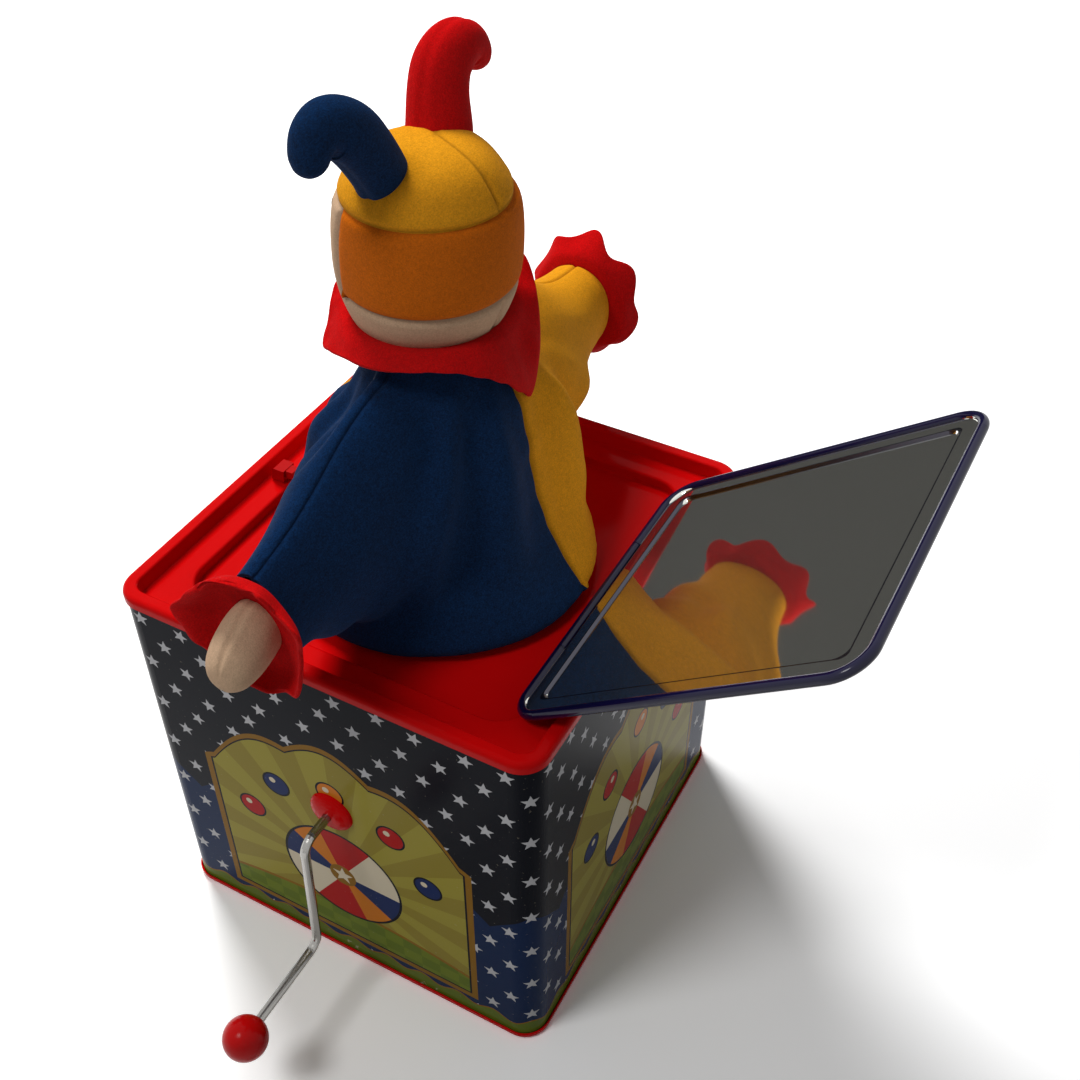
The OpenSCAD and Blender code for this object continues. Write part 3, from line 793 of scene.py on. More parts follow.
@dataclass(frozen=True)
class PrintedWall:
    """Lithographed tin walls: a starry navy ground and, on each wall, an arched panel with a big
    striped ball on a green floor and small juggling balls above it."""

    name: str
    navy: Colour = linear(17, 19, 27)
    navy_low: Colour = linear(20, 40, 76)
    star: Colour = linear(190, 190, 193)
    olive: Colour = linear(160, 148, 62)
    olive_dark: Colour = linear(146, 131, 54)
    gold: Colour = linear(140, 100, 30)
    green: Colour = linear(112, 126, 38)
    green_dark: Colour = linear(98, 114, 34)
    red: Colour = linear(176, 24, 24)
    cream: Colour = linear(216, 204, 178)
    orange: Colour = linear(206, 120, 34)
    blue: Colour = linear(30, 46, 92)
    half: float = 70.0
    corner: float = 8.0
    # starry ground: stars from a wall's middle to its corner, height between rows, a star's radius
    stars: int = 5
    star_rise: float = 9.2
    star_radius: float = 2.9
    # blue valance and grass border: height, and depth of the scallops or waves of its upper edge
    valance: tuple[float, float] = (58.0, 16.0)
    foot: tuple[float, float] = (8.0, 1.2)
    # arched panel: height of its crown, half its width, and height of its lower edge
    crown_z: float = 104.0
    panel_half: float = 49.0
    panel_z: float = 10.0
    # its frame: where the navy line and the picture begin, inwards from its edge
    frame_line: float = 2.2
    frame_inner: float = 2.9
    # height of the green hill at the panel's middle
    hill_z: float = 27.0
    # big ball: height of its middle, radius, and width of its outline
    ball_z: float = 46.0
    ball_radius: float = 21.5
    ball_line: float = 0.9
    # small balls: radius, width of the outline, and the glint's place and radius
    small_radius: float = 4.5
    small_line: float = 0.7
    glint: Point = (-1.3, 1.4, 1.2)

    def _wall_place(self, graph: Graph) -> tuple[Field, Field]:
        """Distance round the box from the middle of the nearest wall, and height, in millimetres."""
        x, y, z = graph.axes()
        flat = self.half - self.corner
        ax, ay = abs(x), abs(y)
        on_side = ax.above(ay)
        off_x, off_y = (ax - flat).most(0.0), (ay - flat).most(0.0)
        angle_side = graph.maths("ARCTAN2", off_y, off_x)
        angle_front = graph.maths("ARCTAN2", off_x, off_y)
        s_side = y.sign() * (ay.least(flat) + angle_side * self.corner)
        s_front = x.sign() * (ax.least(flat) + angle_front * self.corner)
        return s_side * on_side + s_front * (1.0 - on_side), z

    def _star(self, graph: Graph, u: Field, v: Field, radius: float) -> Field:
        """1 inside a five-pointed star of this radius about the middle of (u, v)."""
        fifth = 2 * math.pi / 5
        ratio = 0.42
        angle = graph.maths("ARCTAN2", u, v)
        folded = abs((angle + fifth / 2) % fifth - fifth / 2)
        distance = graph.maths("SQRT", u * u + v * v)
        sine, cosine = ratio * math.sin(fifth / 2), 1 - ratio * math.cos(fifth / 2)
        edge = distance * (folded.cos() * sine + folded.sin() * cosine)
        return edge.below(radius * sine)

    def _disc(self, graph: Graph, s: Field, z: Field, centre: tuple[float, float],
              radius: float) -> Field:
        """1 inside a disc."""
        u, v = s - centre[0], z - centre[1]
        return (u * u + v * v).below(radius * radius)

    def material(self) -> bpy.types.Material:
        """Builds the printed walls' material."""
        graph = Graph(self.name)
        s, z = self._wall_place(graph)
        # starry ground: stars on a staggered lattice
        pitch, rise = (self.half - self.corner * (1 - math.pi / 4)) / self.stars, self.star_rise
        row = (z / rise).floor()
        # each row is set off against the next, and away from the corners every star sits a little
        # out of line and turned
        shift = (row % 2.0) * (pitch / 2)
        column = ((s + shift + 200 * pitch) / pitch).floor()
        loose = abs((column - 199.5) * pitch - shift).below(4 * pitch)
        u = ((s + shift + 200 * pitch) % pitch) - pitch / 2 + (column * 3.7 + row * 1.9).sin() * loose * 1.2
        v = z - (row + 0.5) * rise + (column * 2.1 + row * 4.3).sin() * loose * 1.0
        turn = (column * 5.3 + row * 3.1).sin() * loose * 0.35
        star = self._star(graph, u - v * turn, v + u * turn, self.star_radius)
        # a blue valance below, with a scalloped upper edge, and a grass border at the foot
        hem = self.valance[0] + abs((s * (math.pi / (4 * pitch))).sin()) * self.valance[1]
        ground = graph.mix(z.below(hem), self.navy, self.navy_low)
        cloth = graph.mix(star, ground, self.star)
        foot = self.foot[0] + (s * (2 * math.pi / pitch)).cos() * self.foot[1]
        cloth = graph.mix(z.below(foot), cloth, self.green_dark)
        cloth = graph.mix(abs(z - foot).below(0.35), cloth, self.gold)

        # arched panel with a scalloped crown
        scallop = abs((s * (math.pi / 30)).cos()) * 5.0
        crown = self.crown_z - (s * s) / 90.0 + scallop
        side = self.panel_half - abs(s)
        inset = (crown - z).least(side).least(z - self.panel_z)
        rays = (graph.maths("ARCTAN2", s, z - self.ball_z) * 16.0).sin().above(0.0)
        field = graph.mix(rays, self.olive, self.olive_dark)
        tiles = ((s / 7.0).floor() + (z / 5.0).floor()) % 2.0
        ground = graph.mix(tiles, self.green, self.green_dark)
        hill = self.hill_z - (s * s) / 400.0
        field = graph.mix(z.below(hill), field, ground)
        field = graph.mix(abs(z - hill).below(0.7), field, self.gold)

        # striped ball on the ground
        centre = (0.0, self.ball_z)
        u, v = s - centre[0], z - centre[1]
        wedge = graph.maths("ARCTAN2", u + v * 0.35, v) * (8 / (2 * math.pi))
        stripe = (wedge.floor() % 4.0) / 4.0
        stripes = graph.ramp(stripe, [(0.0, self.red), (0.24, self.cream), (0.49, self.blue),
                                      (0.74, self.orange)], steps=True)
        outline = self._disc(graph, s, z, centre, self.ball_radius + self.ball_line)
        field = graph.mix(outline, field, self.navy)
        field = graph.mix(self._disc(graph, s, z, centre, self.ball_radius), field, stripes)
        field = graph.mix(self._disc(graph, s, z, centre, 5.0), field, self.gold)
        field = graph.mix(self._star(graph, u, v, 4.0), field, self.cream)
        # small balls in an arc above it
        balls = ((-33.0, 62.0, self.red), (-21.0, 80.0, self.blue), (0.0, 88.0, self.orange),
                 (21.0, 80.0, self.red), (33.0, 62.0, self.blue))
        for place_s, place_z, colour in balls:
            middle = (place_s, place_z)
            shine = (place_s + self.glint[0], place_z + self.glint[1])
            outline = self._disc(graph, s, z, middle, self.small_radius + self.small_line)
            field = graph.mix(outline, field, self.navy)
            field = graph.mix(self._disc(graph, s, z, middle, self.small_radius), field, colour)
            field = graph.mix(self._disc(graph, s, z, shine, self.glint[2]), field, self.cream)

        colour = graph.mix(inset.above(0.0), cloth, self.gold)
        colour = graph.mix(inset.above(self.frame_line), colour, self.navy)
        colour = graph.mix(inset.above(self.frame_inner), colour, field)
        # bare scuffs along the lower edge, and a faint print grain
        grain = graph.noise(700, 2, 0.5)
        colour = graph.mix(grain.above(0.72) * 0.12, colour, self.cream)
        scuff = graph.noise(120, 5, 0.7).above(0.66) * z.below(6.0)
        colour = graph.mix(scuff * 0.5, colour, self.cream)
        graph.colour(colour)
        graph.roughness((graph.noise(34, 4, 0.6) - 0.5) * 0.12 + 0.2)
        graph.bump(graph.noise(16, 3, 0.5), 0.08, 0.3)
        graph.set(specular_ior_level=0.02)
        return graph.material


class Slot(Enum):
    """The finishes of the record, by the name of their slot."""

    PRINT = "printed_tin"
    RED_TIN = "red_tin"
    NAVY_TIN = "navy_tin"
    RED_CAP = "red_cap"
    STEEL = "steel"
    WIRE = "chrome_wire"
    BRASS = "brass"
    WOOD = "plug_wood"
    BEIGE = "beige_felt"
    ORANGE = "orange_felt"
    MUSTARD = "mustard_felt"
    NAVY = "navy_felt"
    RED = "red_felt"
    BEAD = "black_bead"


FINISHES = {
    Slot.PRINT: PrintedWall("printed_tin_finish"),
    Slot.RED_TIN: Paint("red_tin_finish", linear(206, 8, 10)),
    Slot.NAVY_TIN: LidFinish("navy_tin_finish", linear(14, 10, 48), linear(232, 232, 226)),
    Slot.RED_CAP: Gloss("red_cap_finish", linear(182, 8, 10)),
    Slot.STEEL: Metal("steel_finish", linear(196, 198, 202), 0.34),
    Slot.WIRE: Metal("chrome_wire_finish", linear(160, 158, 154), 0.2),
    Slot.BRASS: Metal("brass_finish", linear(206, 170, 92), 0.28),
    Slot.WOOD: Wood("plug_wood_finish", linear(214, 178, 128)),
    Slot.BEIGE: Felt("beige_felt_finish", linear(196, 164, 134), 0.07),
    Slot.ORANGE: Felt("orange_felt_finish", linear(200, 100, 11), 0.1),
    Slot.MUSTARD: Felt("mustard_felt_finish", linear(220, 148, 25), 0.1),
    Slot.NAVY: Felt("navy_felt_finish", linear(5, 33, 66), 0.3),
    Slot.RED: Felt("red_felt_finish", linear(190, 8, 10), 0.12),
    Slot.BEAD: Gloss("black_bead_finish", linear(14, 13, 13), 0.08),
}


class Wardrobe:
    """Builds each finish once and puts it on pieces and CAD nodes."""

    def __init__(self) -> None:
        """Builds every finish."""
        self.materials = {slot: finish.material() for slot, finish in FINISHES.items()}

    def dress(self, obj: bpy.types.Object, slot: Slot) -> None:
        """Gives a piece its finish."""
        obj.data.materials.clear()
        obj.data.materials.append(self.materials[slot])
        for face in obj.data.polygons:
            face.material_index = 0


@dataclass
class Piece:
    """A finished piece of the scene and how it is carried."""

    obj: bpy.types.Object
    slot: Slot
    replaces: tuple[str, ...] = ()
    body: Optional[str] = "jester"

    def settle(self, wardrobe: Wardrobe) -> bpy.types.Object:
        """Dresses the piece, and hangs it on its body.

        Args:
            wardrobe: The finishes.

        Returns:
            The piece's object.
        """
        wardrobe.dress(self.obj, self.slot)
        if self.body:
            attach(self.obj, self.body)
        if self.replaces:
            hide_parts(*self.replaces)
        log.info("%s: %d faces", self.obj.name, len(self.obj.data.polygons))
        return self.obj


# ---------- head ----------


@dataclass
class Head:
    """The stuffed head: face, hair band and cap sewn from felt, with a mouth in backstitch."""

    half_width: float = 24.9
    chin: float = 33.0
    crown: float = 29.2
    fullness: float = 2.8
    middle_z: float = 238.0
    band: tuple[float, float] = (229.8, 254.0)
    hair_from: float = -35.0
    hair_to: float = 215.0
    felt: float = 1.4
    seam_depth: float = 0.95
    seam_width: float = 1.3
    # how far beside each seam the skin is cut, so that the seam's dip has points to follow: the cap's
    # middle seam on the unit sphere, then the band's edges and the hair's ends in millimetres
    middle_cuts: tuple[float, ...] = (-0.06, -0.03, 0, 0.03, 0.06)
    band_cuts: tuple[float, ...] = (-2.4, -1.2, -0.5, 0, 0.5, 1.2, 2.4)
    hair_cuts: tuple[float, ...] = (-1.2, -0.5, 0, 0.5, 1.2)
    # how far the cap is drawn in over its shoulder
    flat_shoulder: float = 1.3
    # the head leans back a little towards the mustard side, for each millimetre above the neck
    lean: tuple[float, float] = (-0.018, 0.033)
    neck_z: float = 218.0

    def _width_at(self, z: float) -> float:
        """Radius of the head at a height: an ellipse below and a fuller, flatter crown above."""
        up = z > self.middle_z
        power = self.fullness if up else 2.0
        t = clamp(abs(z - self.middle_z) / (self.crown if up else self.chin))
        return self.half_width * (1 - t ** power) ** (1 / power)

    @staticmethod
    def _cap_seam_x(y: float) -> float:
        """Where the cap's middle seam runs: straight up the back, then askew over the crown."""
        return 2.0 - 0.0135 * clamp(22 - y, 0, 26) ** 2

    def _lean(self, obj: bpy.types.Object) -> None:
        """Leans a finished part of the head, still in millimetres."""
        sculpt(obj, lambda p: (p.x + self.lean[0] * (p.z - self.neck_z),
                               p.y + self.lean[1] * (p.z - self.neck_z), p.z))

    def _egg(self) -> bpy.types.Object:
        """The head's outer skin, with an edge along each seam."""
        obj = ball("head_skin", 112, 80)
        for step in self.middle_cuts:
            cut(obj, (step, 0, 0), (1, 0, 0))

        def place(p: Vector) -> Point:
            """Where one point of the unit sphere goes."""
            flat = max(math.hypot(p.x, p.y), 1e-9)
            z = self.middle_z + p.z * (self.crown if p.z > 0 else self.chin)
            radius = self._width_at(z)
            x, y = p.x / flat * radius, p.y / flat * radius
            # the middle seam is drawn askew over the crown, and the skin keeps its shape
            aside = ease(z, 250, 258) * (1 - ease(abs(x), 2, 15))
            x += self._cap_seam_x(y) * aside
            if aside > 0 and z > self.middle_z:
                rest = 1 - clamp(math.hypot(x, y) / self.half_width) ** self.fullness
                z = self.middle_z + self.crown * rest ** (1 / self.fullness)
            # the cap's smaller panel is drawn flat over its shoulder
            azimuth = math.degrees(math.atan2(y, x))
            beside = bump_at(turn_between(azimuth, 130), 0, 62)
            pull = self.flat_shoulder * beside * bump_at(z, 259.5, 10)
            return (x - pull * x / max(radius, 1), y - pull * y / max(radius, 1), z)

        sculpt(obj, place)
        for z in self.band:
            for step in self.band_cuts:
                cut(obj, (0, 0, z + step), (0, 0, 1))
        for azimuth in (self.hair_from, self.hair_to):
            angle = math.radians(azimuth)
            side = (-math.sin(angle), math.cos(angle), 0)
            for step in self.hair_cuts:
                cut(obj, tuple(step * part for part in side), side,
                    where=lambda f, a=angle: f.calc_center_median().dot(
                        Vector((math.cos(a), math.sin(a), 0))) > 0)
        return obj

    def _in_hair(self, p: Vector) -> bool:
        """Whether a place on the skin belongs to the hair band."""
        azimuth = math.degrees(math.atan2(p.y, p.x))
        inside = (azimuth - self.hair_from) % 360 < self.hair_to - self.hair_from
        return inside and self.band[0] < p.z < self.band[1]

    def _to_seam(self, p: Vector) -> float:
        """Distance from a place on the skin to the nearest seam."""
        azimuth = math.degrees(math.atan2(p.y, p.x))
        radius = math.hypot(p.x, p.y)
        within = (azimuth - self.hair_from) % 360 < self.hair_to - self.hair_from
        low, high = self.band
        below = abs(p.z - low)
        ends = [abs(turn_between(azimuth, a)) for a in (self.hair_from, self.hair_to)]
        gap = radius * math.radians(min(ends))
        found = [abs(p.z - high), below if within else math.hypot(gap, below)]
        if low < p.z < high:
            found.append(gap)
        if p.z > high:
            found.append(abs(p.x - self._cap_seam_x(p.y)))
        if p.z < low and p.y > 0:
            found.append(abs(p.x - 1.8) + 0.3)
        return min(found)

    def _panel(self, skin: bpy.types.Object, name: str,
               wanted: Callable[[Vector], bool]) -> bpy.types.Object:
        """Cuts one felt panel out of the skin, draws its edges in, and gives it thickness."""
        panel = copy_of(skin, name)
        keep_faces(panel, wanted)
        push(panel, lambda p: -self.seam_depth * (1 - 0.6 * ease(p.z, 260, 265)) * math.exp(
            -((self._to_seam(p) / self.seam_width) ** 2) * 1.6))
        thicken(panel, self.felt)
        # nearness to the seams, which the felt darkens as painted shade in their grooves
        mark_seams(panel, lambda p: 0.8 * math.exp(-(self._to_seam(p) / 0.42) ** 2))
        self._lean(panel)
        return to_metres(panel)

    def _mouth(self) -> bpy.types.Object:
        """A calm smile in backstitch, low on the front of the face."""
        stitches = 7
        made = []
        for k in range(stitches):
            across = (k - (stitches - 1) / 2) * 3.0
            z = self.middle_z - 13.5 + 0.05 * across * across
            ends = []
            for off in (-1.15, 1.15):
                x = across + off
                drop = z + 0.1 * across * off
                flat = self._width_at(drop)
                ends.append((x, -math.sqrt(flat ** 2 - x * x), drop))
            stitch = drum(f"stitch_{k}", 10, 6, True)
            a, b = Vector(ends[0]), Vector(ends[1])
            out = ((a + b) / 2 - Vector((0, 0, self.middle_z))).normalized()
            rows = []
            for t in (0, 0.15, 0.5, 0.85, 1):
                middle = a.lerp(b, t) + out * (0.55 * math.sin(math.pi * t) - 0.25)
                rows.append((*middle, 0.2 + 0.42 * math.sin(math.pi * (0.1 + 0.8 * t))))
            follow(stitch, rows, Vector((0, 1, 0.2)))
            made.append(stitch)
        mouth = joined(made, "mouth_stitches")
        weld(mouth)
        self._lean(mouth)
        return to_metres(mouth)

    def _button(self, name: str, places: Sequence[tuple[float, float, float, float]]) -> bpy.types.Object:
        """Round parts sewn on the face.

        Args:
            name: Name of the piece.
            places: Turn from the middle of the face, height above the middle, radius and rise of each.

        Returns:
            The piece.
        """
        made = []
        for turn, rise, radius, high in places:
            dome = ball(f"{name}_{len(made)}", 32, 24)
            angle, z = math.radians(turn - 90), self.middle_z + rise
            out = Vector((math.cos(angle), math.sin(angle), 0))
            side = Vector((-out.y, out.x, 0))
            seat = out * (self._width_at(z) - 0.6) + Vector((0, 0, z))

            def place(p: Vector, out=out, side=side, seat=seat, radius=radius, high=high) -> Vector:
                """Where one point of the unit sphere goes."""
                # a dome in front and a flat back against the felt
                front = (high + 0.6) * math.sqrt(max(0.0, p.z)) if p.z > 0 else 0.3 * p.z
                return seat + side * p.x * radius + Vector((0, 0, p.y * radius)) + out * front

            sculpt(dome, place)
            made.append(dome)
        button = joined(made, name)
        self._lean(button)
        return to_metres(button)

    def make(self) -> list[Piece]:
        """Models the head.

        Returns:
            Its pieces.
        """
        skin = self._egg()
        low, high = self.band
        face = self._panel(skin, "face_felt", lambda p: p.z < high and not self._in_hair(p))
        hair = self._panel(skin, "hair_felt", self._in_hair)
        cap = self._panel(skin, "cap_felt", lambda p: p.z > high)
        bpy.data.objects.remove(skin)
        nose = self._button("nose_ball", ((0.0, 1.0, 4.0, 3.0),))
        eyes = self._button("eye_beads", ((-14.0, 9.0, 2.1, 1.2), (14.0, 9.0, 2.1, 1.2)))
        return [
            Piece(face, Slot.BEIGE, ("face",)),
            Piece(hair, Slot.ORANGE, ("hair_band",)),
            Piece(cap, Slot.MUSTARD, ("cap",)),
            Piece(self._mouth(), Slot.RED),
            Piece(nose, Slot.RED, ("nose",)),
            Piece(eyes, Slot.BEAD, ("eyes",)),
        ]


@dataclass
class Horns:
    """The cap's two stuffed horns, which curl out and down to a soft tip."""

    # centre line and radius of each horn, from inside the cap out to the tip
    navy: tuple[tuple[float, float, float, float], ...] = (
        (12.0, -2.2, 259.8, 6.4), (12.8, -2.4, 261.4, 7.1), (14.5, -2.5, 265.0, 7.2),
        (18.3, -3.2, 271.6, 7.4), (22.2, -4.3, 277.0, 7.6), (27.0, -5.8, 280.0, 7.2),
        (31.4, -6.4, 279.6, 6.2), (34.2, -6.4, 277.0, 5.3), (35.4, -6.1, 274.4, 4.4),
        (35.8, -6.0, 272.6, 3.0), (35.9, -6.0, 271.6, 0.8))
    red: tuple[tuple[float, float, float, float], ...] = (
        (-11.6, -2.1, 258.0, 7.8), (-12.2, -2.3, 259.8, 8.7), (-13.8, -2.8, 263.8, 8.7),
        (-17.2, -4.8, 271.3, 8.0), (-21.2, -5.9, 276.6, 7.7), (-26.2, -5.6, 279.4, 7.2),
        (-30.8, -5.1, 278.9, 6.3), (-33.8, -4.6, 276.2, 5.4), (-35.0, -4.3, 273.8, 4.4),
        (-35.3, -4.2, 272.0, 2.9), (-35.4, -4.2, 271.0, 0.8))
    # the fold on the inner side of the bend: its place along the horn, its width and its depth
    crease: tuple[float, float, float] = (0.66, 0.05, 2.1)
    groove: float = 0.6
    # a place at the horns' roots, in metres, and a share of their height
    root: Point = (0, 0, 0.262)
    keep: float = 0.12

    def make(self) -> list[Piece]:
        """Models both horns, each a tapered tube with its seam sunk along one side.

        Returns:
            Their pieces.
        """
        pieces = []
        for name, path, slot, node in (("navy_horn_felt", self.navy, Slot.NAVY, "navy_horn"),
                                       ("red_horn_felt", self.red, Slot.RED, "red_horn")):
            obj = drum(name, 32, 44, True)
            follow(obj, path, Vector((0, 1, 0)), groove=self.groove, crease=self.crease)
            round_off(obj, 1)
            weld(obj)
            to_metres(obj)
            pieces.append(Piece(obj, slot, (node,)))
        return pieces

    def fold(self, pieces: Sequence[Piece]) -> None:
        """Gives each horn a mesh of its own."""
        for piece in pieces:
            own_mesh(piece.obj)


# ---------- robe ----------


@dataclass
class Robe:
    """The jester's robe: navy on one half and mustard on the other, with wide sleeves."""

    hem_radius: float = 42.6
    foot_navy: float = 51.0
    foot_mustard: float = 47.0
    floor_z: float = 133.0
    wrist_x: float = 84.5
    voxel: float = 1.7
    felt: float = 1.2
    navy_y: float = -0.6
    mustard_y: float = 1.6
    sleeve_seam_y: float = 1.0
    # a distance from the middle, and a share of each sleeve's length
    side_anchor: float = 25.0
    side_keep: float = 0.17
    # two places on the robe's middle line, in metres
    tied_from: Point = (0, 0, 0.1315)
    tied_to: Point = (0, 0, 0.2115)
    # height and radius of the body, from the hem in the opening up to the neck
    body_rows: tuple[tuple[float, float], ...] = (
        (118, 42.4), (126, 42.4), (132.6, 42.5), (133.9, 45.0), (135.2, 50.0), (137.5, 51.0), (141, 49.2),
        (146, 46.4), (152, 43.4), (160, 41.6), (168, 40.4), (176, 39.6), (184, 38.2), (191, 35.4),
        (198, 31.0), (204, 27.0), (210, 23.4), (216, 20.6), (224, 19.0))
    # sections of each sleeve: distance from the middle, height of its centre, half height, half depth;
    # the navy arm is lifted and pressed flatter, and the mustard one hangs fuller
    navy_sleeve: tuple[tuple[float, float, float, float], ...] = (
        (6, 178, 33.5, 23), (22, 177, 34, 23.5), (34, 175.5, 34, 21.6), (46, 174.2, 31.2, 18.2),
        (58, 174.0, 25.2, 14.6), (68, 174.4, 20.6, 11.6), (77, 174.6, 18, 9.6), (85, 174.6, 16.4, 8.6),
        (92, 174.6, 16.4, 8.6))
    mustard_sleeve: tuple[tuple[float, float, float, float], ...] = (
        (6, 179, 33, 23), (22, 178, 33.4, 23.8), (34, 176.5, 33, 23.6), (46, 174.6, 30.4, 22.4),
        (58, 173.6, 24.6, 19), (68, 173.8, 20.6, 15.6), (77, 174.4, 18, 13.0), (85, 174.6, 16.6, 12.0),
        (92, 174.6, 16.6, 12.0))
    # how far the seam up the back is drawn in, by height
    back_valley: tuple[tuple[float, float], ...] = (
        (132, 0.6), (140, 2.0), (150, 3.2), (160, 5.6), (170, 7.4), (180, 8.0), (190, 6.2),
        (200, 2.6), (210, 0))

    # long soft folds: bearing, and how far they stand out on the navy half and on the mustard one
    back_folds: tuple[tuple[float, float, float], ...] = ((60, 1.3, 2.4), (76, -1.3, -2.6))
    # folds down the front: bearing, and how far they stand out
    front_folds: tuple[tuple[float, float], ...] = ((30, 2.2), (45, -2.0), (60, 1.2), (74, -1.0))

    def _body(self) -> bpy.types.Object:
        """The closed core of the robe's body."""
        rows = len(self.body_rows) - 1
        obj = drum("robe_core", 96, rows, True)

        def place(p: Vector) -> Point:
            """Where one point of the drum goes."""
            z, radius = self.body_rows[round(clamp(p.z) * rows)]
            azimuth = math.degrees(math.atan2(p.y, p.x))
            # the foot spreads further on the navy half than on the mustard one
            lean = ease(abs(turn_between(azimuth, 0)), 85, 125)
            foot = 1 - (1 - self.foot_mustard / self.foot_navy) * lean
            spread = 1 - (1 - foot) * (ease(z, 133.5, 135) - ease(z, 138, 160))
            flat = math.hypot(p.x, p.y)
            return (p.x / max(flat, 1e-6) * radius * spread * min(flat, 1), p.y / max(flat, 1e-6)
                    * radius * spread * min(flat, 1), z)

        sculpt(obj, place)
        return obj

    def _sleeve(self, side: int) -> bpy.types.Object:
        """The closed core of one sleeve."""
        rows_of_side = self.navy_sleeve if side > 0 else self.mustard_sleeve
        middle_y = self.navy_y if side > 0 else self.mustard_y
        obj = drum("sleeve_core", 48, 24, True)

        def place(p: Vector) -> Point:
            """Where one point of the drum goes."""
            x, centre, high, deep = along(rows_of_side, p.z)
            # the two panels meet in a ridge at the top, so the sleeve narrows upwards; the mustard
            # one is drawn flat on top towards its wrist
            flat = ease(x, 42, 78) if side < 0 else 0.0
            narrow = 1 - (0.22 - 0.2 * flat) * clamp(p.x) ** 2
            lower = 1 - 0.17 * flat * clamp(p.x)
            return (side * x, middle_y + p.y * deep * narrow, centre + p.x * high * lower)

        sculpt(obj, place)
        weld(obj)
        return obj

    def _skin(self) -> bpy.types.Object:
        """Body and sleeves melted into one smooth skin."""
        skin = joined([self._body(), self._sleeve(1), self._sleeve(-1)], "robe_skin")
        skin.data.remesh_voxel_size = self.voxel
        bpy.ops.object.voxel_remesh()
        apply_modifier(skin, "SMOOTH", factor=0.5, iterations=9)
        return skin

    def _fold_depth(self, p: Vector) -> float:
        """How far the cloth stands out from the smooth skin at a place, on its way to hang in folds."""
        azimuth = math.degrees(math.atan2(p.y, abs(p.x)))
        depth = 0.0
        if p.y > 0:
            depth -= by_height(self.back_valley, p.z) * math.exp(-((90 - azimuth) / 15) ** 2)
            # ridge from the collar down the back of the shoulder into the underarm
            height = clamp((p.z - 146) / 66)
            line = 24 + 20 * height ** 1.2
            strength = ease(p.z, 146, 160) * (1 - ease(p.z, 196, 212)) * (1.0 if p.x > 0 else 0.25)
            depth += 3.3 * strength * bump_at(azimuth, line, 9)
            depth -= 3.6 * strength * bump_at(azimuth, line + 16, 14)
            depth -= 1.4 * ease(p.z, 150, 165) * (1 - ease(p.z, 185, 200)) * bump_at(azimuth, line - 13, 9)
            # long soft folds down the back
            for place, navy, mustard in self.back_folds:
                high = navy if p.x > 0 else mustard
                depth += high * ease(p.z, 140, 165) * (1 - ease(p.z, 190, 208)) * bump_at(azimuth, place, 10)
        if p.y < 0:
            # the shoulder falls steeply at the front
            depth -= 6.4 * ease(p.z, 178, 200) * ease(-p.y, 1, 10) * (1 - ease(abs(p.x), 36, 56))
            depth -= 2.6 * ease(p.z, 176, 198) * bump_at(azimuth, -90, 44)
            depth -= 3.8 * bump_at(p.z, 182, 27) * bump_at(azimuth, -74, 56)
            front = -azimuth
            strength = ease(p.z, 142, 165) * (1 - ease(p.z, 192, 210))
            for place, high in self.front_folds:
                depth += high * strength * bump_at(front, place, 9)
        # the full sleeve hangs over itself where it meets the body
        if p.x < -34 and p.y > 8:
            beside = bump_at(p.x, -49, 13)
            depth += 1.3 * beside * bump_at(p.z, 172, 7) - 2.0 * beside * bump_at(p.z, 162.5, 6)
        # slack under each sleeve
        if abs(p.x) > 40:
            wave = math.sin((abs(p.x) - 44) * 0.33 + 0.05 * p.z)
            under = 1 - ease(p.z, 150, 170)
            depth += 0.9 * wave * under * ease(abs(p.x), 42, 52) * (1 - ease(abs(p.x), 76, 84))
        return depth

    def _settle(self, skin: bpy.types.Object) -> None:
        """Hangs the skin in folds, sews its seams in, and keeps it clear of the tin."""
        push(skin, self._fold_depth)
        for x in (-1.1, -0.45, 0, 0.45, 1.1):
            cut(skin, (x, 0, 0), (1, 0, 0))
        for y in (-1.0, -0.4, 0, 0.4, 1.0):
            cut(skin, (0, self.sleeve_seam_y + y, 0), (0, 1, 0),
                where=lambda f: abs(f.calc_center_median().x) > 18 and f.normal.z > 0.2)
        push(skin, self._seam_depth)

        def clear(p: Vector) -> Point:
            """Lifts a point off the tray, or draws it in to pass through the opening."""
            radius = math.hypot(p.x, p.y)
            if p.z < self.floor_z + 0.3:
                if radius > self.hem_radius + 1:
                    return (p.x, p.y, self.floor_z + 0.3)
                by = min(1.0, self.hem_radius / max(radius, 1e-6))
                return (p.x * by, p.y * by, p.z)
            return tuple(p)

        sculpt(skin, clear)

    def _seam_depth(self, p: Vector) -> float:
        """How far the sewn seams draw the cloth in at a place."""
        middle = -0.9 * math.exp(-((p.x + 0.25) / 0.7) ** 2) * (0.3 + 0.7 * ease(p.z, 134, 144))
        top = 0.0
        if abs(p.x) > 18 and p.z > 175:
            top = -0.6 * math.exp(-((p.y - self.sleeve_seam_y) / 0.5) ** 2) * ease(abs(p.x), 18, 24)
        return min(middle, top)

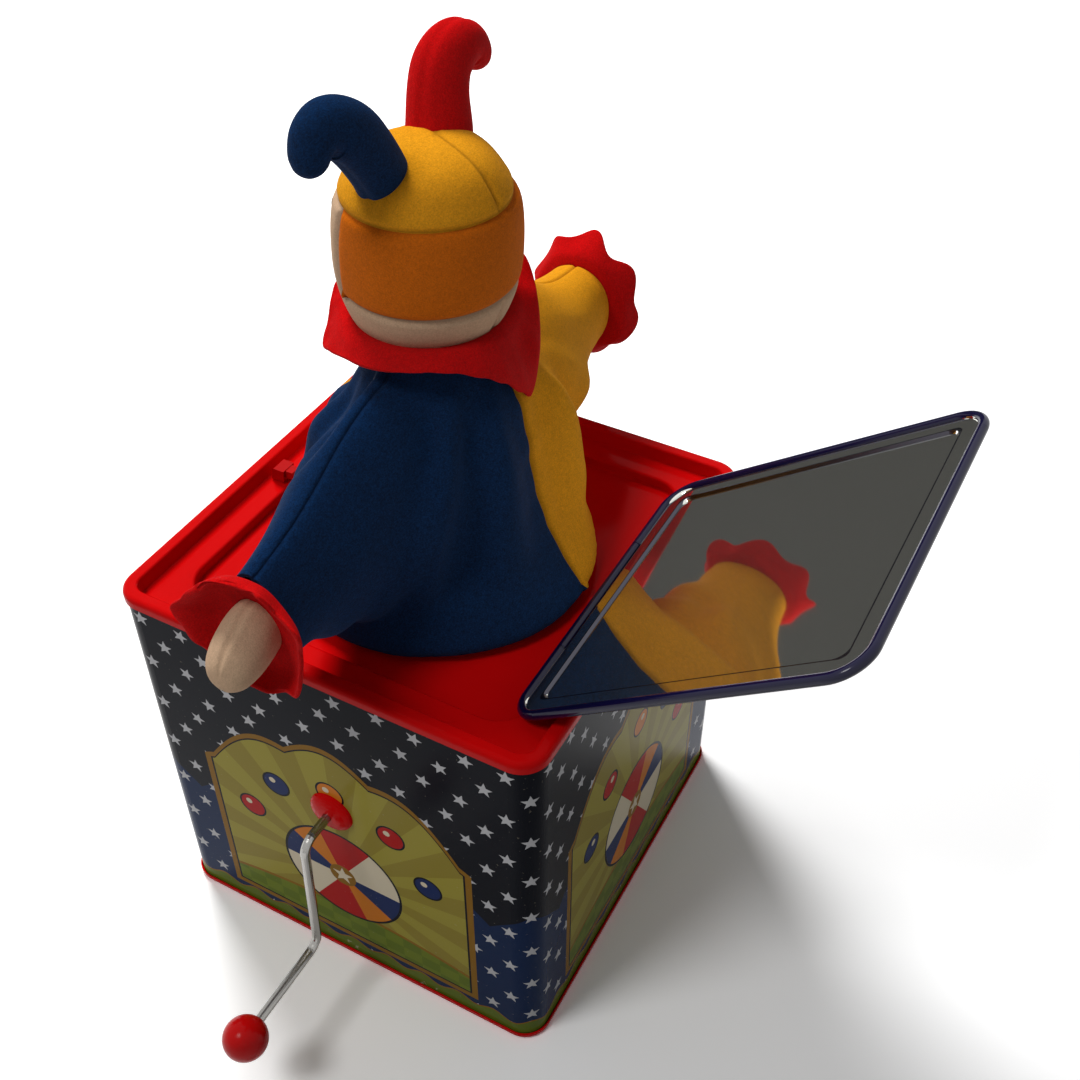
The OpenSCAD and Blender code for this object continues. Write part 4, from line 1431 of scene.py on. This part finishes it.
    def _half(self, skin: bpy.types.Object, side: int) -> tuple[bpy.types.Object, bpy.types.Object]:
        """Cuts the body and the sleeve of one half out of the skin.

        Args:
            skin: The whole robe's skin.
            side: 1 for the navy half and -1 for the mustard one.

        Returns:
            The body's sheet and the sleeve's.
        """
        name = "navy" if side > 0 else "mustard"
        whole = copy_of(skin, f"robe_{name}_felt")
        cut(whole, (0, 0, 0), (-side, 0, 0), drop=True)
        cut(whole, (0, 0, self.floor_z - 7.3), (0, 0, -1), drop=True)
        cut(whole, (0, 0, 215), (0, 0, 1), drop=True)
        cut(whole, (side * self.wrist_x, 0, 0), (side, 0, 0), drop=True)
        slant = Vector((side * 54, 0, 22)).normalized()
        seam = (side * 52, 0, self.floor_z + 3)
        sleeve = copy_of(whole, f"sleeve_{name}_felt")
        cut(whole, seam, tuple(slant), drop=True)
        cut(sleeve, seam, tuple(-slant), drop=True)
        for sheet in (whole, sleeve):
            thicken(sheet, self.felt)
            # nearness to the seams, which the felt darkens as painted shade in their grooves
            mark_seams(sheet, lambda p: -self._seam_depth(p) * 0.9)
        return to_metres(whole), to_metres(sleeve)

    def make(self) -> list[Piece]:
        """Models the robe.

        Returns:
            Its pieces: body and sleeve of each half.
        """
        skin = self._skin()
        self._settle(skin)
        pieces = []
        for side, slot, node in ((1, Slot.NAVY, "robe_navy"), (-1, Slot.MUSTARD, "robe_yellow")):
            body, sleeve = self._half(skin, side)
            pieces.append(Piece(body, slot, (node,), body=None))
            pieces.append(Piece(sleeve, slot, (node,)))
        bpy.data.objects.remove(skin)
        return pieces

    def hang(self, pieces: Sequence[Piece]) -> None:
        """Bakes each body sheet's placing into its mesh, and gives each sleeve a mesh of its own."""
        for piece in pieces:
            if piece.body is None:
                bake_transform(piece.obj)
            else:
                side = 1 if piece.slot is Slot.NAVY else -1
                fold_sideways(piece.obj, side * self.side_anchor)


def fold_sideways(obj: bpy.types.Object, anchor: float) -> None:
    """Gives a piece a mesh of its own."""
    anchor * MM
    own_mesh(obj)


@dataclass
class Arms:
    """Wavy cuffs and the stuffed mittens that come out of them."""

    wrist: tuple[float, float, float] = (84.5, 0.2, 174.6)
    waves: int = 7
    flatness: float = 0.78
    fuller: float = 1.2
    aside: float = 1.6
    felt: float = 1.1
    # the cuff's mean line: distance beyond the wrist, radius, and depth of its waves
    cuff_rows: tuple[tuple[float, float, float], ...] = (
        (0.2, 8.4, 0.0), (0.2, 12.0, 0.0), (0.5, 15.2, 0.1), (1.2, 17.2, 0.4), (2.8, 18.6, 1.0),
        (5.0, 19.8, 1.9), (7.2, 21.0, 2.7))
    # free edge of the navy arm's cuff: bearing from its top towards the back, radius, and distance
    # beyond the wrist
    navy_edge: tuple[tuple[float, float, float], ...] = (
        (-81, 21.4, 8.0), (-66, 18.4, 7.0), (-50, 16.6, 6.4), (-22, 18.6, 7.4), (8, 17.8, 6.3),
        (24, 22.6, 7.8), (41, 19.4, 6.2), (57, 23.6, 8.0), (78, 18.4, 6.1), (102, 18.0, 7.0),
        (128, 19.8, 8.2), (143, 17.2, 6.8), (162, 16.8, 7.6), (182, 17.6, 6.8), (205, 18.8, 7.8),
        (226, 16.6, 6.8), (243, 17.6, 7.4), (260, 18.2, 7.2))
    # the mitten: distance beyond the wrist, rise of its middle, half height, half depth
    mitten_rows: tuple[tuple[float, float, float, float], ...] = (
        (-2.0, 0, 8.0, 6.6), (2, -0.3, 8.8, 7.3), (5.6, -0.9, 8.6, 7.7), (9.2, -1.7, 7.8, 7.7),
        (12.4, -2.3, 6.9, 7.3), (15.2, -2.8, 5.8, 6.5), (17.2, -3.2, 4.3, 5.2), (18.5, -3.5, 2.6, 3.4),
        (19.1, -3.6, 0.3, 0.4))
    mitten_y: float = 0.4
    mitten_bend: float = 1.6
    # the cuff's mouth leans: its lower edge lies nearer the sleeve, its front edge further out
    lean: tuple[float, float] = (0.07, 0.08)

    def _cuff(self, navy: bool) -> bpy.types.Object:
        """One cuff on the +X side: a flared ring whose edge goes in waves."""
        rows = 14
        obj = drum("left_cuff_felt", 112, rows, False)

        def place(p: Vector) -> Point:
            """Where one point of the drum goes."""
            out, radius, wave = along(self.cuff_rows, p.z)
            azimuth = math.atan2(p.y, p.x)
            ripple = math.sin(self.waves * azimuth + 0.5 + 0.6 * math.sin(2 * azimuth))
            second = math.sin((self.waves - 3) * azimuth + 1.9)
            radius += 0.42 * wave * (ripple + 0.4 * second)
            up, back = radius * math.cos(azimuth), self.flatness * radius * math.sin(azimuth)
            tilt = self.lean[0] * up - self.lean[1] * back
            swing = math.sin(self.waves * azimuth + 1.5) + 0.3 * second
            out += 0.7 * wave * swing + tilt * clamp(out / 3)
            if navy:
                share = wave / self.cuff_rows[-1][2]
                radius, further = round_table(self.navy_edge, math.degrees(azimuth))
                up += (radius * math.cos(azimuth) - up) * share
                back += (radius * math.sin(azimuth) - back) * share
                out += (further - out) * share
            return (self.wrist[0] + out, self.wrist[1] + back, self.wrist[2] + up)

        sculpt(obj, place)
        weld(obj)
        thicken(obj, self.felt)
        round_off(obj, 1)
        return obj

    def _mitten(self) -> bpy.types.Object:
        """One mitten: two padded halves with the seam between them along the top and underneath."""
        rows = 30
        obj = drum("left_mitten_felt", 44, rows, True)

        def place(p: Vector) -> Point:
            """Where one point of the drum goes."""
            out, rise, high, deep = along(self.mitten_rows, p.z)
            azimuth = math.atan2(p.y, p.x)
            # the halves stand up to the seam in a low ridge, and the seam itself is sunk
            seam = abs(math.sin(azimuth))
            lift = 0.9 * math.exp(-(seam / 0.3) ** 2) - 1.5 * math.exp(-(seam / 0.075) ** 2)
            scale = min(1.0, math.hypot(p.x, p.y))
            grow = lift * clamp(high / 6)
            return (self.wrist[0] + out,
                    self.mitten_y + self.mitten_bend * clamp(out / 20) ** 2
                    + scale * (deep + grow) * math.sin(azimuth),
                    self.wrist[2] + rise + scale * (high + grow) * math.cos(azimuth))

        sculpt(obj, place)
        weld(obj)
        round_off(obj, 1)
        return obj

    def make(self) -> list[Piece]:
        """Models cuffs and mittens of both arms.

        Returns:
            Their pieces, the navy side's first.
        """
        cuff, mitten = self._cuff(navy=True), self._mitten()
        plain = self._cuff(navy=False)
        other = mirrored(plain, "right_cuff_felt")
        bpy.data.objects.remove(plain)
        # the mustard sleeve is fuller, so its cuff stands wider from front to back
        sculpt(other, lambda p: (p.x, (p.y - self.wrist[1]) * self.fuller + self.wrist[1] + self.aside, p.z))
        made = [(cuff, Slot.RED, "left_cuff"), (mitten, Slot.BEIGE, "left_hand"),
                (other, Slot.RED, "right_cuff"),
                (mirrored(mitten, "right_mitten_felt"), Slot.BEIGE, "right_hand")]
        return [Piece(to_metres(obj), slot, (node,)) for obj, slot, node in made]

    def fold(self, pieces: Sequence[Piece], anchor: float, keep: float) -> None:
        """Gives each piece of the arms a mesh of its own."""
        for piece, side in zip(pieces, (1, 1, -1, -1)):
            fold_sideways(piece.obj, side * anchor)


@dataclass
class Ruff:
    """The pointed felt collar, creased up and down round the neck."""

    felt: float = 1.2
    inner_radius: float = 20.5
    inner_z: float = 220.2
    # azimuth, radius and height of the collar's free edge
    edge: tuple[tuple[float, float, float], ...] = (
        (-83, 27.7, 220.0), (-70, 27.4, 217.6), (-58, 27.6, 212.4), (-48, 28.4, 209.6), (-38, 28.2, 211.6),
        (-17, 28.5, 214.8),
        (4, 29.2, 216.0), (21, 29.6, 216.6), (32, 29.8, 217.0), (45, 30.2, 216.2), (59, 30.8, 213.0),
        (72, 30.6, 208.2), (86, 30.2, 201.0), (97, 30.0, 195.8), (103, 30.0, 197.0), (113, 30.4, 205.0),
        (136, 30.4, 218.0), (157, 31.4, 223.6), (176, 31.0, 217.5), (196, 30.5, 208.0), (214, 32.0, 202.0),
        (232, 30.5, 208.5), (252, 29.0, 216.0))

    def make(self) -> list[Piece]:
        """Models the collar.

        Returns:
            Its piece.
        """
        rows = 16
        obj = drum("collar_felt", 144, rows, False)

        def place(p: Vector) -> Point:
            """Where one point of the drum goes."""
            azimuth = math.atan2(p.y, p.x)
            radius, height = round_table(self.edge, math.degrees(azimuth))
            t = 1 - p.z
            r = self.inner_radius + (radius - self.inner_radius) * t ** 0.8
            drop = height - self.inner_z
            r += 0.8 * math.sin(3.2 * math.pi * t) * t * ease(math.sin(azimuth + 0.3), 0.0, 0.7)
            # one corner flares out and curls
            curl = bump_at(turn_between(math.degrees(azimuth), -47), 0, 20) * t ** 6
            r += 1.3 * curl
            # the cloth rises out of the neck a little before it falls, and its edge rolls back up
            z = self.inner_z + drop * t ** 1.5 + 1.6 * math.sin(math.pi * t) + 1.5 * t ** 8 + 0.8 * curl
            return (r * math.cos(azimuth), r * math.sin(azimuth), z)

        sculpt(obj, place)
        weld(obj)
        thicken(obj, self.felt)
        round_off(obj, 1)
        to_metres(obj)
        return [Piece(obj, Slot.RED, ("collar",))]


@dataclass
class PopSpring:
    """The tapered coil spring that throws the jester up."""

    wire: float = 1.1
    turns: float = 12.5
    radii: tuple[float, float] = (25.0, 15.2)
    ends: tuple[float, float] = (2.45, 200.85)
    flat_turn: float = 0.9
    travel: float = 140.0

    def make(self) -> list[Piece]:
        """Winds the spring.

        Returns:
            Its piece.
        """
        per_turn = 36
        count = round(self.turns * per_turn)
        obj = drum("pop_spring", 12, count, True)
        rows = []
        for i in range(count + 1):
            turn = i / per_turn
            rise = clamp((turn - self.flat_turn) / (self.turns - 2 * self.flat_turn))
            radius = self.radii[0] + (self.radii[1] - self.radii[0]) * turn / self.turns
            angle = 2 * math.pi * turn
            rows.append((radius * math.cos(angle), radius * math.sin(angle),
                         self.ends[0] + (self.ends[1] - self.ends[0]) * rise, self.wire))
        follow(obj, rows, Vector((0, 0, 1)))
        weld(obj)
        return [Piece(to_metres(obj), Slot.STEEL, ("coil_spring",), body="box")]

    def fold(self, pieces: Sequence[Piece]) -> None:
        """Gives the spring a mesh of its own."""
        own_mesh(pieces[0].obj)


# ---------- tin, movement and crank ----------


@dataclass
class LatchSpring:
    """The leaf of spring steel that presses the latch lever home."""

    width: float = 5.0
    thickness: float = 0.4
    # centre line from the front wall up to the lever: y and z
    bends: tuple[tuple[float, float], ...] = (
        (-69.3, 88), (-69.3, 92), (-69.15, 95.4), (-67.4, 98.9), (-64.6, 103.1), (-62.1, 106.8),
        (-61.6, 108.6), (-62.4, 112))
    # two heights on the leaf
    springy: tuple[float, float] = (97.0, 109.0)

    def make(self) -> list[Piece]:
        """Bends the leaf.

        Returns:
            Its piece.
        """
        bpy.ops.object.select_all(action="DESELECT")
        bpy.ops.mesh.primitive_grid_add(x_subdivisions=2, y_subdivisions=28, size=1)
        obj = bpy.context.object
        obj.name = "latch_leaf"
        sculpt(obj, lambda p: (p.x * self.width, *along(self.bends, p.y + 0.5)))
        thicken(obj, self.thickness)
        return [Piece(to_metres(obj), Slot.STEEL, ("latch_spring",), body=None)]

    def flex(self, pieces: Sequence[Piece]) -> None:
        """Bakes the leaf's placing into its mesh."""
        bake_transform(pieces[0].obj)


class Tinwork:
    """The CAD nodes that stay as they are and only get their finish."""

    NODES = {
        Slot.PRINT: ("box_body",),
        Slot.RED_TIN: ("top_plate", "bottom_plate", "crank_bush"),
        Slot.NAVY_TIN: ("lid", "hinge_knuckle"),
        Slot.RED_CAP: ("crank_knob", "catch_cap"),
        Slot.STEEL: ("hinge_pin", "hem_ring", "spring_seat", "movement_frame", "comb", "comb_screws",
                     "latch_bracket", "latch_pin", "latch_lever", "crank_clip",
                     "drum_arbor", "arbor_clip", "release_rod"),
        Slot.WIRE: ("crank_wire",),
        Slot.BRASS: ("crank_pinion", "tune_drum", "drum_wheel", "trip_cam"),
        Slot.WOOD: ("neck_plug",),
    }

    def dress(self, nodes: dict[str, bpy.types.Object], wardrobe: Wardrobe) -> None:
        """Gives each CAD node its finish.

        Args:
            nodes: The frame's nodes.
            wardrobe: The finishes.
        """
        for slot, names in self.NODES.items():
            for name in names:
                wardrobe.dress(nodes[name], slot)
                log.info("%s: %s", name, slot.value)


# ---------- studio ----------


@dataclass(frozen=True)
class Lamp:
    """A soft round lamp, with or without a glint: its bearing in degrees, size in metres and power."""

    name: str
    azimuth: float
    elevation: float
    size: float
    power: float
    glint: bool
    distance: float = 1.6


@dataclass
class Studio:
    """White floor, the dark card that the lid's mirror shows, two soft lamps and the camera."""

    # the camera: its place, its right, up and forward directions, and its lens in millimetres
    eye: Point = (0.25798, 0.17359, 0.41470)
    right: Point = (-0.47667, 0.87908, 0.00034)
    up: Point = (-0.58903, -0.31969, 0.74219)
    ahead: Point = (-0.65255, -0.35358, -0.67019)
    lens: float = 44.84
    sensor: float = 36.0
    near: float = 0.01
    # the lamps and the place that they look at
    target: Point = (0, 0, 0.12)
    lamps: tuple[Lamp, ...] = (
        Lamp("key", 235, 52, 0.55, 23, glint=False),
        Lamp("second", -27, 58, 0.45, 7, glint=True))
    # the floor's shade where it only lights the toy, and how much whiter it is where it is seen
    floor_radius: float = 1.7
    floor_shade: float = 0.6
    floor_lift: float = 0.72
    # strength of the light from all round, and of the white that is seen behind the floor
    fill: float = 0.2
    backdrop: float = 1.0
    card_size: tuple[float, float] = (2.6, 1.1)
    card_place: Point = (-1.25, -1.25, 0.45)
    card_turn: float = -45
    card_colour: Colour = (0.02, 0.02, 0.018)
    card_glow: Colour = (0.017, 0.0165, 0.015)

    def _camera(self) -> None:
        """Puts the camera in its place."""
        data = bpy.data.cameras.new("camera")
        data.lens = self.lens
        data.sensor_width = self.sensor
        data.clip_start = self.near
        camera = bpy.data.objects.new("camera", data)
        bpy.context.scene.collection.objects.link(camera)
        axes = Matrix((Vector(self.right), Vector(self.up), -Vector(self.ahead)))
        turn = axes.transposed().to_4x4()
        camera.matrix_world = Matrix.Translation(self.eye) @ turn
        bpy.context.scene.camera = camera

    def _light(self, lamp: Lamp) -> None:
        """Sets up one lamp, turned to the middle of the toy."""
        data = bpy.data.lights.new(lamp.name, "AREA")
        data.shape = "DISK"
        data.size = lamp.size
        data.energy = lamp.power
        obj = bpy.data.objects.new(lamp.name, data)
        obj.visible_glossy = lamp.glint
        bpy.context.scene.collection.objects.link(obj)
        a, e = math.radians(lamp.azimuth), math.radians(lamp.elevation)
        way = Vector((math.cos(a) * math.cos(e), math.sin(a) * math.cos(e), math.sin(e)))
        obj.location = Vector(self.target) + way * lamp.distance
        obj.rotation_euler = way.to_track_quat("Z", "Y").to_euler()

    @staticmethod
    def _seen(tree: bpy.types.NodeTree) -> bpy.types.NodeSocket:
        """1 where a place is seen, also in a reflection or through glass, and 0 where it only lights.

        Args:
            tree: The node tree of the floor's material or of the world.

        Returns:
            The socket that carries it.
        """
        path = tree.nodes.new("ShaderNodeLightPath")
        socket = path.outputs["Is Camera Ray"]
        for name in ("Is Glossy Ray", "Is Transmission Ray"):
            most = tree.nodes.new("ShaderNodeMath")
            most.operation = "MAXIMUM"
            tree.links.new(socket, most.inputs[0])
            tree.links.new(path.outputs[name], most.inputs[1])
            socket = most.outputs[0]
        return socket

    def _floor(self) -> None:
        """A wide white floor that goes over into the white background."""
        bpy.ops.object.select_all(action="DESELECT")
        bpy.ops.mesh.primitive_circle_add(vertices=96, radius=self.floor_radius, fill_type="NGON")
        floor = bpy.context.object
        floor.name = "floor"
        material = bpy.data.materials.new("floor_white")
        material.use_nodes = True
        nodes, links = material.node_tree.nodes, material.node_tree.links
        shader = nodes["Principled BSDF"]
        # whiter where it is looked at than where it lights the object
        seen = nodes.new("ShaderNodeMath")
        seen.operation = "MULTIPLY_ADD"
        seen.inputs[1].default_value = self.floor_lift
        seen.inputs[2].default_value = self.floor_shade
        links.new(self._seen(material.node_tree), seen.inputs[0])
        links.new(seen.outputs[0], shader.inputs["Base Color"])
        shader.inputs["Roughness"].default_value = 0.9
        shader.inputs["Specular IOR Level"].default_value = 0.1
        floor.data.materials.append(material)

    def _card(self) -> None:
        """A dark card behind the open lid's view, which the mirror shows."""
        bpy.ops.object.select_all(action="DESELECT")
        bpy.ops.mesh.primitive_plane_add(size=1)
        card = bpy.context.object
        card.name = "dark_card"
        card.scale = (*self.card_size, 1)
        card.location = self.card_place
        card.rotation_euler = Euler((math.radians(90), 0, math.radians(self.card_turn)))
        card.visible_camera = False
        card.visible_diffuse = False
        card.visible_shadow = False
        material = bpy.data.materials.new("card_grey")
        material.use_nodes = True
        shader = material.node_tree.nodes["Principled BSDF"]
        shader.inputs["Base Color"].default_value = (*self.card_colour, 1)
        shader.inputs["Emission Color"].default_value = (*self.card_glow, 1)
        shader.inputs["Emission Strength"].default_value = 1.0
        card.data.materials.append(material)

    def _world(self) -> None:
        """Plain fill from all round, and white where the camera or a reflection sees past the floor."""
        world = bpy.data.worlds.new("studio")
        bpy.context.scene.world = world
        world.use_nodes = True
        nodes, links = world.node_tree.nodes, world.node_tree.links
        nodes.clear()
        fill, white = nodes.new("ShaderNodeBackground"), nodes.new("ShaderNodeBackground")
        fill.inputs[0].default_value = (1, 1, 1, 1)
        fill.inputs[1].default_value = self.fill
        white.inputs[0].default_value = (1, 1, 1, 1)
        white.inputs[1].default_value = self.backdrop
        mix = nodes.new("ShaderNodeMixShader")
        output = nodes.new("ShaderNodeOutputWorld")
        links.new(self._seen(world.node_tree), mix.inputs[0])
        links.new(fill.outputs[0], mix.inputs[1])
        links.new(white.outputs[0], mix.inputs[2])
        links.new(mix.outputs[0], output.inputs[0])

    def make(self) -> None:
        """Sets up the studio."""
        self._camera()
        self._world()
        self._floor()
        self._card()
        for lamp in self.lamps:
            self._light(lamp)
        bpy.context.scene.view_settings.view_transform = "Standard"


def main() -> None:
    """Dresses the whole toy."""
    logging.basicConfig(level=logging.INFO, format="%(name)s: %(message)s")
    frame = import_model()
    Studio().make()
    wardrobe = Wardrobe()
    Tinwork().dress(frame["nodes"], wardrobe)

    head, horns, robe, arms, ruff, spring = Head(), Horns(), Robe(), Arms(), Ruff(), PopSpring()
    leaf = LatchSpring()
    head_pieces = head.make()
    horn_pieces = horns.make()
    robe_pieces = robe.make()
    arm_pieces = arms.make()
    ruff_pieces = ruff.make()
    spring_pieces = spring.make()
    leaf_pieces = leaf.make()
    for piece in (*head_pieces, *horn_pieces, *robe_pieces, *arm_pieces, *ruff_pieces, *spring_pieces,
                  *leaf_pieces):
        piece.settle(wardrobe)
    horns.fold(horn_pieces)
    robe.hang(robe_pieces)
    arms.fold(arm_pieces, robe.side_anchor, robe.side_keep)
    spring.fold(spring_pieces)
    leaf.flex(leaf_pieces)


if __name__ == "__main__":
    main()
